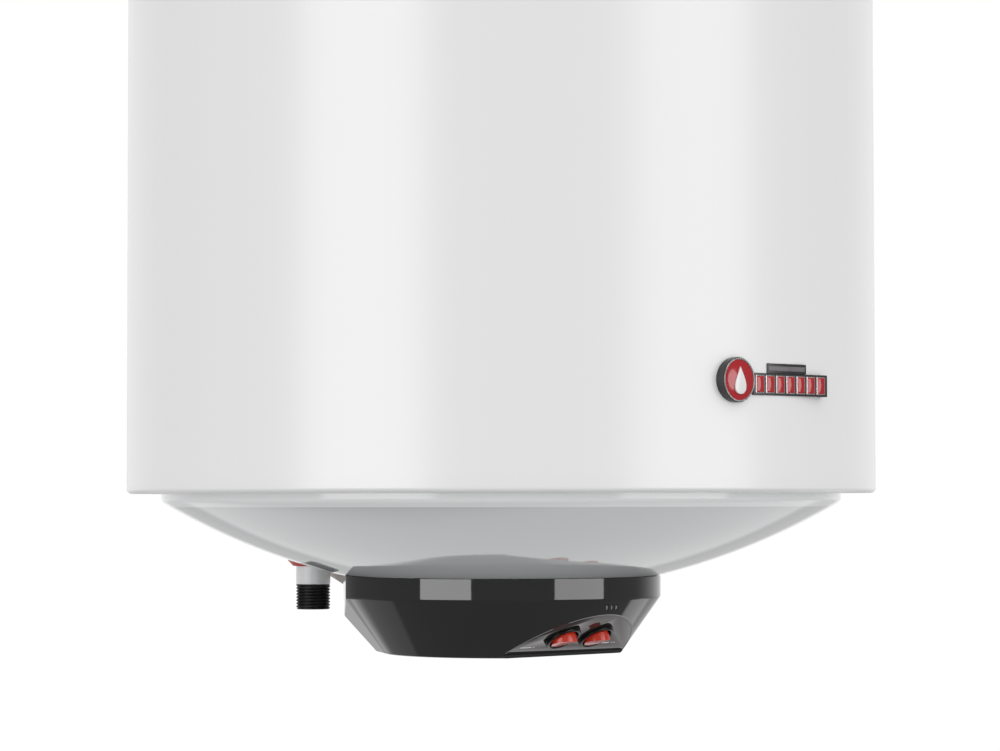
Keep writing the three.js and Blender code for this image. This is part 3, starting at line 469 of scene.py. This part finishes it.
def build_pan():
    corner_z = -2.6
    rim = arc((PAN_R - PAN_CORNER, corner_z), PAN_CORNER, 0, -56, 8)
    radii = [PAN_R - PAN_CORNER - 1.5 - 4.0 * i for i in range(29)]
    radii = [r for r in radii if r > PAN_OPENING_R] + [PAN_OPENING_R]
    edge = PAN_R + LIP_HIDDEN
    outline = [(edge, 1.3 + SHEET), (edge, 1.3), (PAN_R + 0.3, 1.3), (PAN_R, 1.0)] + rim
    outline += [(r, pan_height(r)) for r in radii]
    outline += [(r, pan_height(r, -SHEET)) for r in reversed(radii)]
    outline += [(PAN_R - SHEET, corner_z), (PAN_R - SHEET, 1.3 + SHEET)]
    pan = lathe("base_pan", outline, 240, sharp=math.radians(50))
    holes = [rod_piece("hole", 12.7, -60, 10, Matrix.Translation((x, PIPE_Y, 0)))
             for x in (-PIPE_X, PIPE_X)]
    cut(pan, *holes)
    smooth_again(pan, math.radians(22))
    finish_piece(pan, "pan_paint", "heater", "pan_paint", "bottom_pan")
    # the rim strip takes the brighter pan rim paint: painted light on the rim
    inner = (PAN_R - PAN_CORNER - 1.4) * MM
    repaint(pan, "pan_rim_painted_light", lambda centre: math.hypot(centre.x - AXIS.x, centre.y - AXIS.y) > inner)


def build_cap():
    top = CASING_H
    shares = [1 - i / CAP_STEPS for i in range(CAP_STEPS + 1)]
    dome = [(PAN_R * share, top + CAP_RISE * (1 - share ** 2)) for share in shares]
    under = [(r, z - SHEET) for r, z in reversed(dome)][:-1]
    edge, seat = PAN_R + LIP_HIDDEN, top - 1.3
    lip = [(PAN_R - SHEET, seat - SHEET), (edge, seat - SHEET), (edge, seat), (PAN_R + 0.2, seat)]
    cap = lathe("cap_dome", under + lip + dome, sharp=math.radians(50))
    # the dome takes the darker cap enamel: painted shade for the light from above
    finish_piece(cap, "cap_enamel_painted_shade", "heater", "casing_enamel", "top_cap")


# ---- control cover ----
def between(start, end, share):
    return tuple(a + (b - a) * share for a, b in zip(start, end))


def front_arc(radius):
    angles = [math.radians(COVER_SIDE_ANGLE * i / SIDE_STEPS) for i in range(SIDE_STEPS + 1)]
    return [(radius * math.sin(angle), -radius * math.cos(angle)) for angle in angles]


def close_back(points, corner, back):
    points += [between(corner, back, i / BACK_STEPS) for i in range(1, BACK_STEPS + 1)]
    points += [(back[0] * (1 - i / BACK_STEPS), back[1]) for i in range(1, BACK_STEPS + 1)]
    return points


def band_outline(inset):
    """Half of the outline at the upright band, from the front's middle to the back's middle."""
    points = front_arc(COVER_BAND_R - inset)
    start = points[-1]
    corner = (COVER_CORNER[0] - inset, COVER_CORNER[1] - inset * 0.35)
    half = math.dist(start, corner) / 2
    bulge = COVER_SIDE_R - math.sqrt(COVER_SIDE_R ** 2 - half ** 2)
    for i in range(1, FLANK_STEPS + 1):
        t = i / FLANK_STEPS
        x, y = between(start, corner, t)
        points.append((x + bulge * 4 * t * (1 - t), y))
    return close_back(points, corner, (COVER_BACK[0] - inset * 0.6, COVER_BACK[1] - inset))


def low_outline(inset):
    """Half of the outline at the bottom, with as many points as the band's."""
    radius = COVER_LOW_R - inset
    points = front_arc(radius)
    corner = (COVER_LOW_CORNER[0] - inset, COVER_LOW_CORNER[1])
    last = math.degrees(math.atan2(corner[0], -corner[1]))
    reach = math.hypot(*corner)
    for i in range(1, FLANK_STEPS + 1):
        turn, r = between((COVER_SIDE_ANGLE, radius), (last, reach), i / FLANK_STEPS)
        angle = math.radians(turn)
        points.append((r * math.sin(angle), -r * math.cos(angle)))
    return close_back(points, corner, (COVER_LOW_BACK[0] - inset * 0.7, COVER_LOW_BACK[1] - inset))


def back_share(index):
    """0 round the front and sides, rising to 1 across the angled corner, and 1 along the back."""
    return min(max((index - SIDE_STEPS - FLANK_STEPS) / BACK_STEPS, 0.0), 1.0)


def band_edge_height(index, inset):
    return COVER_EDGE + (COVER_BACK[2] - COVER_EDGE) * back_share(index) + inset * 0.4


def whole(half):
    """A closed outline from the points of its right half."""
    return half + [(-x, *rest) for x, *rest in reversed(half[1:-1])]


def cover_loft(name, inset, lift=0.0, crease=0.0):
    """A closed block with the cover's shape: an upright band and a taper down to the bottom."""
    band = band_outline(inset)
    low = low_outline(inset)
    roof = whole([(x, y, pan_height(math.hypot(x, y), COVER_GAP) + lift) for x, y in band])
    edge = whole([(x, y - COVER_BACK_DRAFT * back_share(i), band_edge_height(i, inset))
                  for i, (x, y) in enumerate(band)])
    floor = whole([(x, y, COVER_BOTTOM + inset) for x, y in low])
    bm = bmesh.new()
    rows = ring_grid(bm, [roof, edge, floor])
    bm.faces.new(rows[-1])
    middle = bm.verts.new((0, 0, pan_height(0, COVER_GAP) + lift))
    for a, b in zip(rows[0], rows[0][1:] + rows[0][:1]):
        bm.faces.new((middle, a, b))
    bmesh.ops.recalc_face_normals(bm, faces=bm.faces)
    if crease:
        creased = [edge for edge in bm.edges if edge.calc_face_angle() > math.radians(17)
                   and not all(vert in rows[0] for vert in edge.verts)]
        bmesh.ops.bevel(bm, geom=creased, offset=crease, segments=3, profile=0.5,
                        affect="EDGES", clamp_overlap=True)
    return new_object(name, bm)


def facet_wedge(depth):
    """All that lies below and before the fascia's face, moved back by a depth."""
    slope = math.tan(FACET_SLOPE)
    y = FACET_FRONT_Y + depth
    z = COVER_BOTTOM + FACET_LIP + depth / math.cos(FACET_SLOPE) - depth * slope
    outline = [(y, z), (y, z - 60), (y - 60, z - 60), (y - 60, z + 60 * slope)]
    bm = bmesh.new()
    ring_grid(bm, [[(x, a, b) for a, b in outline] for x in (-90, 90)], cap_ends=True)
    return new_object("wedge", bm, smooth=False)


def fascia_block(name, border, start, thick, rise):
    place = FACET @ Matrix.Translation((0, start + 60, (rise - thick) / 2))
    slab = box_piece(name, (240, 120, thick + rise), place)
    return cut(slab, cover_loft("loft", border), operation="INTERSECT")


def lens_place(i, up=0.0, out=0.0):
    slot = Matrix.Translation(((i - 1) * LENS_PITCH, 0, 0)) @ Matrix.Rotation(LENS_SLANT, 4, "Z")
    return LENS_FRAME @ slot @ Matrix.Translation((0, up, out))


def switch_place(x, out=0.0):
    return FACET @ Matrix.Translation((x, SWITCH_UP, out))


def cover_holes():
    floor = COVER_BOTTOM - 2
    tools = [rod_piece("hole", SWITCH_HOLE_R, -20, 2, switch_place(x)) for x in SWITCH_XS]
    tools += [box_piece("hole", (1.5, 4.8, 12), lens_place(i)) for i in range(3)]
    tools.append(rod_piece("hole", 4.9, -12, 12, GLAND_FRAME))
    tools.append(rod_piece("hole", KNOB_R + 0.4, floor, KNOB_TOP, Matrix.Identity(4)))
    for x in SCREW_XS:
        tools.append(rod_piece("hole", 4.3, floor, -93.0, Matrix.Translation((x, SCREW_Y, 0))))
    return tools


def build_cover():
    cover = cover_loft("cover_shell", 0.0, crease=0.8)
    cut(cover, facet_wedge(0.0))
    hollow = cover_loft("hollow", COVER_WALL, lift=4.0)
    cut(hollow, facet_wedge(COVER_WALL + FASCIA_THICK))
    cut(cover, hollow)
    play = 0.12
    cut(cover, fascia_block("pocket", FASCIA_BORDER - play, FASCIA_START - play, FASCIA_THICK + 0.2, 1.0))
    cut(cover, *cover_holes())
    smooth_again(cover, math.radians(18))
    weigh_normals(cover)
    finish_piece(cover, "cover_plastic", "heater", "cover_plastic", "control_cover")


def build_fascia():
    fascia = fascia_block("fascia_plate", FASCIA_BORDER, FASCIA_START, FASCIA_THICK, 0.0)
    cut(fascia, *[rod_piece("hole", SWITCH_HOLE_R, -5, 5, switch_place(x)) for x in SWITCH_XS])
    soften(fascia, 0.12, 2, 40)
    finish_piece(fascia, "fascia_plastic", "heater", "fascia_plastic", "switch_fascia")
    build_label(1, -38.0, 8.0, 1)
    build_label(2, 25.5, 9.8, 2)


def build_label(number, x, up, dots):
    """A plain printed mark beside a switch: a bar and one or two dots."""
    pieces = [(0.0, 9.0)] + [(6.5 + 2.2 * i, 1.0) for i in range(dots)]
    for i, (along, length) in enumerate(pieces):
        place = FACET @ Matrix.Translation((x + along, up, 0.03))
        mark = box_piece(f"switch_mark_{number}_{i + 1}", (length, 1.1, 0.06), place)
        finish_piece(mark, "label_white", "heater", "fascia_plastic")


def build_switches():
    for i, x in enumerate(SWITCH_XS):
        outline = [(0, -13), (SWITCH_BODY_R, -13), (SWITCH_BODY_R, 0.1), (10.9, 0.1)]
        outline += arc((9.95, 1.0), 1.05, -45, 168, 16)
        outline += [(8.8, 0.9), (8.8, -8), (0, -8)]
        housing = lathe(f"rocker_bezel_{i + 1}", outline, 96, switch_place(x))
        finish_piece(housing, "bezel_gloss", "heater", "black_plastic", f"switch_housing_{i + 1}")
        paddle = build_rocker(i, x)
        finish_piece(paddle, "rocker_red", f"rocker_{i + 1}", "rocker_red", f"switch_rocker_{i + 1}")


def build_rocker(i, x):
    """A round paddle whose top is a shallow hollow from one end to the other."""
    tilt = switch_place(x, ROCKER_PIVOT) @ Matrix.Rotation(ROCKER_TILT, 4, "X")
    outline = [(0, -3.6), (ROCKER_R - 0.9, -3.6), (ROCKER_R, 0), (ROCKER_R, 6), (0, 6)]
    paddle = lathe(f"rocker_paddle_{i + 1}", outline, 96, tilt)
    reach, steps, middle, rise = 10.0, 16, 2.7, 1.1
    shares = [1 - 2 * k / steps for k in range(steps + 1)]
    top = [(reach * share, middle + rise * share ** 2) for share in shares]
    profile = [(-reach, -5), (reach, -5)] + top
    bm = bmesh.new()
    ring_grid(bm, [[(a, y, z) for y, z in profile] for a in (-reach, reach)], cap_ends=True)
    bmesh.ops.transform(bm, matrix=tilt, verts=bm.verts)
    cut(paddle, new_object("wedge", bm), operation="INTERSECT")
    return soften(paddle, 0.35, 3, 35)


def build_lenses():
    """A grey window low in each slot; above it a black block is painted shade in the open slot."""
    for i in range(3):
        lens = box_piece(f"indicator_window_{i + 1}", (1.3, 3.0, 5.4), lens_place(i, -0.75, -3.2))
        finish_piece(lens, "lens_clear", "heater", "lens_clear", f"indicator_lens_{i + 1}")
        # a black block above each window stands in for the shade inside the open slot: painted shade
        shade_piece = box_piece(f"indicator_slot_shade_{i + 1}", (1.3, 1.5, 4.0), lens_place(i, 1.5, -4.0))
        finish_piece(shade_piece, "black_plastic", "heater", "black_plastic")


def build_gland():
    """A stem through the cover, a collar, a long cone and a blind bore in its end."""
    outline = [(0, -9), (4.6, -9), (4.6, 1.4), (5.9, 1.4), (6.3, 1.8), (6.3, 7)]
    outline += [between((6.3, 7), (3.8, 37.5), i / 8) for i in range(1, 9)]
    outline += [(3.4, 38), (2.5, 38), (2.5, 34), (0, 34)]
    gland = lathe("cord_gland", outline, 64, GLAND_FRAME)
    finish_piece(gland, "pale_plastic", "heater", "pale_plastic", "cable_gland")


def build_knob():
    corner = 0.6
    outline = [(0, KNOB_BOTTOM), (KNOB_R - corner, KNOB_BOTTOM)]
    outline += arc((KNOB_R - corner, KNOB_BOTTOM + corner), corner, -90, 0, 4)
    outline += [(KNOB_R, KNOB_TOP), (0, KNOB_TOP)]
    knob = lathe("regulator_knob", outline, 96)
    cut(knob, box_piece("slot", (20, 3.4, 4.8), Matrix.Translation((0, 0, KNOB_BOTTOM))))
    soften(knob, 0.3, 2, 40)
    finish_piece(knob, "black_plastic", "thermostat_control", "black_plastic", "thermostat_knob")


# ---- water connections ----
def build_pipe(name, node, x):
    """A plain zinc tube whose lower end carries a true helical thread."""
    sides, bore_r, top = 96, 7.9, 4.0
    rows = 8 * int(THREAD_LENGTH / THREAD_PITCH)
    thread_top = PIPE_END + THREAD_LENGTH
    rings = []
    for i in range(rows + 1):
        rise = THREAD_LENGTH * i / rows
        fade = min(1.0, i / 6, 0.3 + (rows - i) / 10)
        chamfer = 0.5 * max(0.0, 1 - i / 5)
        ring = []
        for j in range(sides):
            phase = (rise / THREAD_PITCH - j / sides) % 1.0
            crest = 1 - abs(2 * phase - 1)
            groove = THREAD_DEPTH * (1 - min(1.0, crest * 1.35)) * fade
            around = polar(PIPE_R - 0.15 - groove - chamfer, 2 * math.pi * j / sides)
            ring.append((*around, PIPE_END + rise))
        rings.append(ring)
    plain = [(PIPE_R - 0.35, thread_top + 0.3), (PIPE_R, thread_top + 0.8), (PIPE_R, top),
             (bore_r, top), (bore_r, PIPE_END + 0.8), (bore_r + 0.5, PIPE_END)]
    for r, z in plain:
        rings.append([(*polar(r, 2 * math.pi * j / sides), z) for j in range(sides)])
    bm = bmesh.new()
    ring_grid(bm, rings, close_rings=True)
    bmesh.ops.translate(bm, vec=(x, PIPE_Y, 0), verts=bm.verts)
    pipe = new_object(name, bm, sharp=math.radians(40))
    finish_piece(pipe, "zinc_steel", "heater", "zinc_steel", node)
    limit = to_row(0, 0, thread_top + 0.3).z
    repaint(pipe, "black_thread", lambda centre: centre.z < limit)


def build_collar(name, node, x, material):
    """A cone whose upper edge follows the pan, with a neck through the pan's hole."""
    sides, bore = 72, PIPE_R + 0.3
    rings = [[] for _ in range(6)]
    for j in range(sides):
        c, s = polar(1.0, 2 * math.pi * j / sides)

        def under_pan(r):
            return pan_height(math.hypot(x + r * c, PIPE_Y + r * s), COVER_GAP)

        rise = 4.0
        for _ in range(12):
            rise = under_pan(COLLAR_END_R + COLLAR_SLOPE * rise) - COLLAR_END
        column = [(bore, COLLAR_END), (COLLAR_END_R, COLLAR_END),
                  (COLLAR_END_R + COLLAR_SLOPE * rise, COLLAR_END + rise),
                  (COLLAR_NECK_R, under_pan(COLLAR_NECK_R)), (COLLAR_NECK_R, COLLAR_TOP), (bore, COLLAR_TOP)]
        for ring, (r, z) in zip(rings, column):
            ring.append((x + r * c, PIPE_Y + r * s, z))
    bm = bmesh.new()
    ring_grid(bm, rings, close_rings=True)
    finish_piece(new_object(name, bm), material, "heater", material, node)


# ---- badge: flat pieces whose backs are shaped to the casing ----
def badge_place(x=0.0, y=0.0, out=0.0):
    turn = Matrix.Rotation(BADGE_TURN, 4, "Z") @ Matrix.Rotation(math.pi / 2, 4, "X")
    shift = Matrix.Translation((x, y, CASING_R + BADGE_FACE + out))
    return Matrix.Translation((0, 0, BADGE_Z)) @ turn @ shift


def against_casing(obj):
    return cut(obj, rod_piece("round", CASING_R + 0.2, -100, 200, Matrix.Identity(4), 288))


def badge_block(name, left, right, low, high, node):
    thick = 8.0
    place = badge_place((left + right) / 2, (low + high) / 2, BADGE_PLATE - thick / 2)
    piece = box_piece(name, (right - left, high - low, thick), place)
    soften(piece, 0.3, 3, 40)
    smooth_again(against_casing(piece))
    finish_piece(piece, "badge_side", "heater", "black_plastic", node)


def badge_tile(name, left, right, low, high, material, rise, edge):
    """A raised tile with sloping sides, standing on the plate."""
    bm = bmesh.new()
    rings = []
    for inset, height in [(0.0, -0.05), (0.0, rise * 0.5), (edge, rise)]:
        x0, x1, y0, y1 = left + inset, right - inset, low + inset, high - inset
        rings.append([(x0, y0, height), (x1, y0, height), (x1, y1, height), (x0, y1, height)])
    ring_grid(bm, rings, cap_ends=True)
    bmesh.ops.transform(bm, matrix=badge_place(out=BADGE_PLATE), verts=bm.verts)
    tile = soften(new_object(name, bm), 0.12, 2, 25)
    finish_piece(tile, material, "heater", "badge_red")


def build_badge_disc():
    place = badge_place(-BADGE_HALF + BADGE_DISC_R)
    side = [(0, -12), (BADGE_DISC_R, -12), (BADGE_DISC_R, 0.2), (12.1, 0.5), (0, 0.5)]
    base = lathe("badge_base", side, 96, place)
    smooth_again(against_casing(base))
    finish_piece(base, "badge_side", "heater", "badge_red", "badge_disc")
    rim = [(11.1, 0.4), (12.1, 0.4), (12.15, 0.7), (11.9, 0.9), (11.3, 0.9), (11.1, 0.7)]
    finish_piece(lathe("badge_rim", rim, 96, place), "badge_chrome", "heater", "badge_red")
    face_r, steps = 11.05, 12
    face = [(0, 0.4), (face_r, 0.4)]
    for i in range(steps + 1):
        swell = math.sin(math.pi / 2 * i / steps) ** 2
        face.append((face_r - face_r * i / steps, 0.55 + swell))
    finish_piece(lathe("badge_face", face, 96, place), "badge_red", "heater", "badge_red")
    build_drop(place)


def build_drop(place):
    """A plain water drop, the disc's generic mark."""
    steps, width, reach = 64, 6.0, 7.4
    drop = []
    for i in range(steps):
        t = 2 * math.pi * i / steps
        drop.append((width * math.sin(t) * math.sin(t / 2) ** 1.5, reach * math.cos(t) - 0.4))
    bm = bmesh.new()
    ring_grid(bm, [[(a, b, h) for a, b in drop] for h in (0.5, 1.8)], cap_ends=True)
    bmesh.ops.transform(bm, matrix=place, verts=bm.verts)
    mark = soften(new_object("badge_drop", bm), 0.2, 2, 40)
    finish_piece(mark, "badge_white", "heater", "badge_red")


def build_badge():
    build_badge_disc()
    left = -BADGE_HALF + 2 * BADGE_DISC_R + 0.1
    low, high = BADGE_BAR
    badge_block("badge_plate", left, BADGE_HALF, low, high, "badge_bar")
    badge_block("badge_upper_plate", -6.6, 25.2, high + 0.05, 9.7, "badge_strip")
    badge_tile("badge_line", -5.2, 23.8, 5.6, 8.2, "badge_grey", 0.25, 0.2)
    border, edge = 1.1, 0.5
    pitch = (BADGE_HALF - left - 2.4) / BADGE_TILES
    for i in range(BADGE_TILES):
        start = left + 1.6 + pitch * i
        end = start + pitch - 1.2
        sides = (start, end, low + border, high - border)
        badge_tile(f"badge_tile_edge_{i + 1}", *sides, "badge_chrome", 0.3, 0.3)
        sides = (start + edge, end - edge, low + border + edge, high - border - edge)
        badge_tile(f"badge_tile_{i + 1}", *sides, "badge_red", 0.65, 0.7)


# ---- camera, floor and light ----
CAMERA_TURN = math.radians(-44)
CAMERA_RISE = math.radians(2.29)
CAMERA_ROLL = math.radians(-0.08)
CAMERA_DISTANCE = 1.885
CAMERA_DROP = 3.9
CAMERA_SHIFT = 0.6
FLOOR_DROP = 1100.0


def add_camera():
    data = bpy.data.cameras.new("camera")
    data.sensor_width = 36.0
    data.lens = 112.1
    camera = bpy.data.objects.new("camera", data)
    bpy.context.scene.collection.objects.link(camera)
    back = Vector((math.sin(CAMERA_TURN), -math.cos(CAMERA_TURN), 0))
    camera.location = to_row(0, 0, -CAMERA_DROP) + back * CAMERA_DISTANCE
    turn = Matrix.Rotation(CAMERA_TURN, 3, "Z") @ Matrix.Rotation(math.pi / 2 + CAMERA_RISE, 3, "X")
    turn = turn @ Matrix.Rotation(CAMERA_ROLL, 3, "Z")
    camera.rotation_euler = turn.to_euler()
    right = Vector((math.cos(CAMERA_TURN), math.sin(CAMERA_TURN), 0))
    camera.location -= right * CAMERA_SHIFT * MM
    bpy.context.scene.camera = camera


def add_floor():
    bm = bmesh.new()
    bmesh.ops.create_circle(bm, cap_ends=True, segments=96, radius=5000)
    bmesh.ops.translate(bm, vec=(0, 0, -FLOOR_DROP), verts=bm.verts)
    floor = new_object("floor", bm)
    floor.data.materials.append(paint("floor_paint", (0.9, 0.9, 0.9), 0.6, vary=0.01))
    floor.visible_diffuse = False
    floor.visible_glossy = False


def add_softbox(name, turn, width, strength, distance=3.0, low=-0.9, high=3.2):
    """An upright light that only shows in reflections, turned by degrees from the camera's side."""
    light = bpy.data.lights.new(name, "AREA")
    light.shape = "RECTANGLE"
    light.size = width
    light.size_y = high - low
    light.energy = strength * width * (high - low) * math.pi
    lamp = bpy.data.objects.new(name, light)
    bpy.context.scene.collection.objects.link(lamp)
    angle = CAMERA_TURN + math.radians(turn)
    back = Vector((math.sin(angle), -math.cos(angle), 0))
    lamp.location = AXIS + back * distance + Vector((0, 0, (low + high) / 2))
    lamp.rotation_euler = back.to_track_quat("Z", "Y").to_euler()
    lamp.visible_camera = False
    lamp.visible_diffuse = False


class WorldNodes:
    """A short way to write the world's node tree; every value is a level of light."""

    def __init__(self, tree):
        self.tree = tree
        self.coords = tree.nodes.new("ShaderNodeTexCoord").outputs["Generated"]

    def along(self, direction):
        made = self.tree.nodes.new("ShaderNodeVectorMath")
        made.operation = "DOT_PRODUCT"
        made.inputs[1].default_value = direction
        self.tree.links.new(self.coords, made.inputs[0])
        return made.outputs["Value"]

    def behind(self, lean):
        """How far a direction points to the wall behind the heater, leaning to the right by a share."""
        c, s = math.cos(CAMERA_TURN), math.sin(CAMERA_TURN)
        return self.along((lean * c - s, lean * s + c, 0))

    def step(self, value, start, end, low, high):
        made = self.tree.nodes.new("ShaderNodeMapRange")
        made.interpolation_type = "SMOOTHSTEP"
        for key, number in zip(("From Min", "From Max", "To Min", "To Max"), (start, end, low, high)):
            made.inputs[key].default_value = number
        self.tree.links.new(value, made.inputs["Value"])
        return made.outputs["Result"]

    def mix(self, share, first, second):
        made = self.tree.nodes.new("ShaderNodeMix")
        self.tree.links.new(share, made.inputs["Factor"])
        self.tree.links.new(first, made.inputs["A"])
        if isinstance(second, float):
            made.inputs["B"].default_value = second
        else:
            self.tree.links.new(second, made.inputs["B"])
        return made.outputs["Result"]

    def least(self, first, second):
        made = self.tree.nodes.new("ShaderNodeMath")
        made.operation = "MINIMUM"
        self.tree.links.new(first, made.inputs[0])
        self.tree.links.new(second, made.inputs[1])
        return made.outputs["Value"]


def room_level(nodes, up):
    """What reflections show: a bright back wall, a duller strip at its foot, and the ground."""
    wall = nodes.step(nodes.behind(0), 0.35, 1.0, 0.26, 1.0)
    skirting = nodes.step(nodes.behind(0), 0.35, 1.0, 0.3, 0.66)
    wall = nodes.mix(nodes.step(up, -0.18, -0.1, 0.0, 1.0), skirting, wall)
    bright = nodes.step(nodes.behind(0.6), 0.35, 0.6, 0.42, 1.1)
    edge = nodes.least(nodes.behind(-0.483), nodes.behind(0.117))
    ground = nodes.mix(nodes.step(edge, 0.22, 0.28, 1.0, 0.0), bright, 0.22)
    return nodes.mix(nodes.step(up, -0.38, -0.32, 0.0, 1.0), ground, wall)


def add_world():
    """White behind the heater, light from above for its colours, and a room for its reflections."""
    world = bpy.data.worlds.new("studio")
    bpy.context.scene.world = world
    world.use_nodes = True
    tree = world.node_tree
    tree.nodes.clear()
    nodes = WorldNodes(tree)
    up = nodes.along((0, 0, 1))
    light = nodes.step(up, -0.95, -0.2, 0.12, 1.13)
    path = tree.nodes.new("ShaderNodeLightPath")
    level = nodes.mix(path.outputs["Is Glossy Ray"], light, room_level(nodes, up))
    level = nodes.mix(path.outputs["Is Camera Ray"], level, 1.02)
    background = tree.nodes.new("ShaderNodeBackground")
    tree.links.new(level, background.inputs["Color"])
    out = tree.nodes.new("ShaderNodeOutputWorld")
    tree.links.new(background.outputs["Background"], out.inputs["Surface"])


def add_stage():
    add_camera()
    add_floor()
    add_world()
    add_softbox("softbox_left", -40.0, 2.06, 3.1)
    add_softbox("softbox_right", 57.3, 2.14, 2.6)
    bpy.context.scene.view_settings.view_transform = "Standard"


dress_cad()
build_casing()
build_pan()
build_cap()
build_cover()
build_fascia()
build_switches()
build_lenses()
build_gland()
build_knob()
build_pipe("hot_nipple", "hot_outlet_pipe", -PIPE_X)
build_pipe("cold_nipple", "cold_inlet_pipe", PIPE_X)
build_collar("hot_ring", "hot_collar", -PIPE_X, "collar_red")
build_collar("cold_ring", "cold_collar", PIPE_X, "collar_blue")
build_badge()
add_stage()
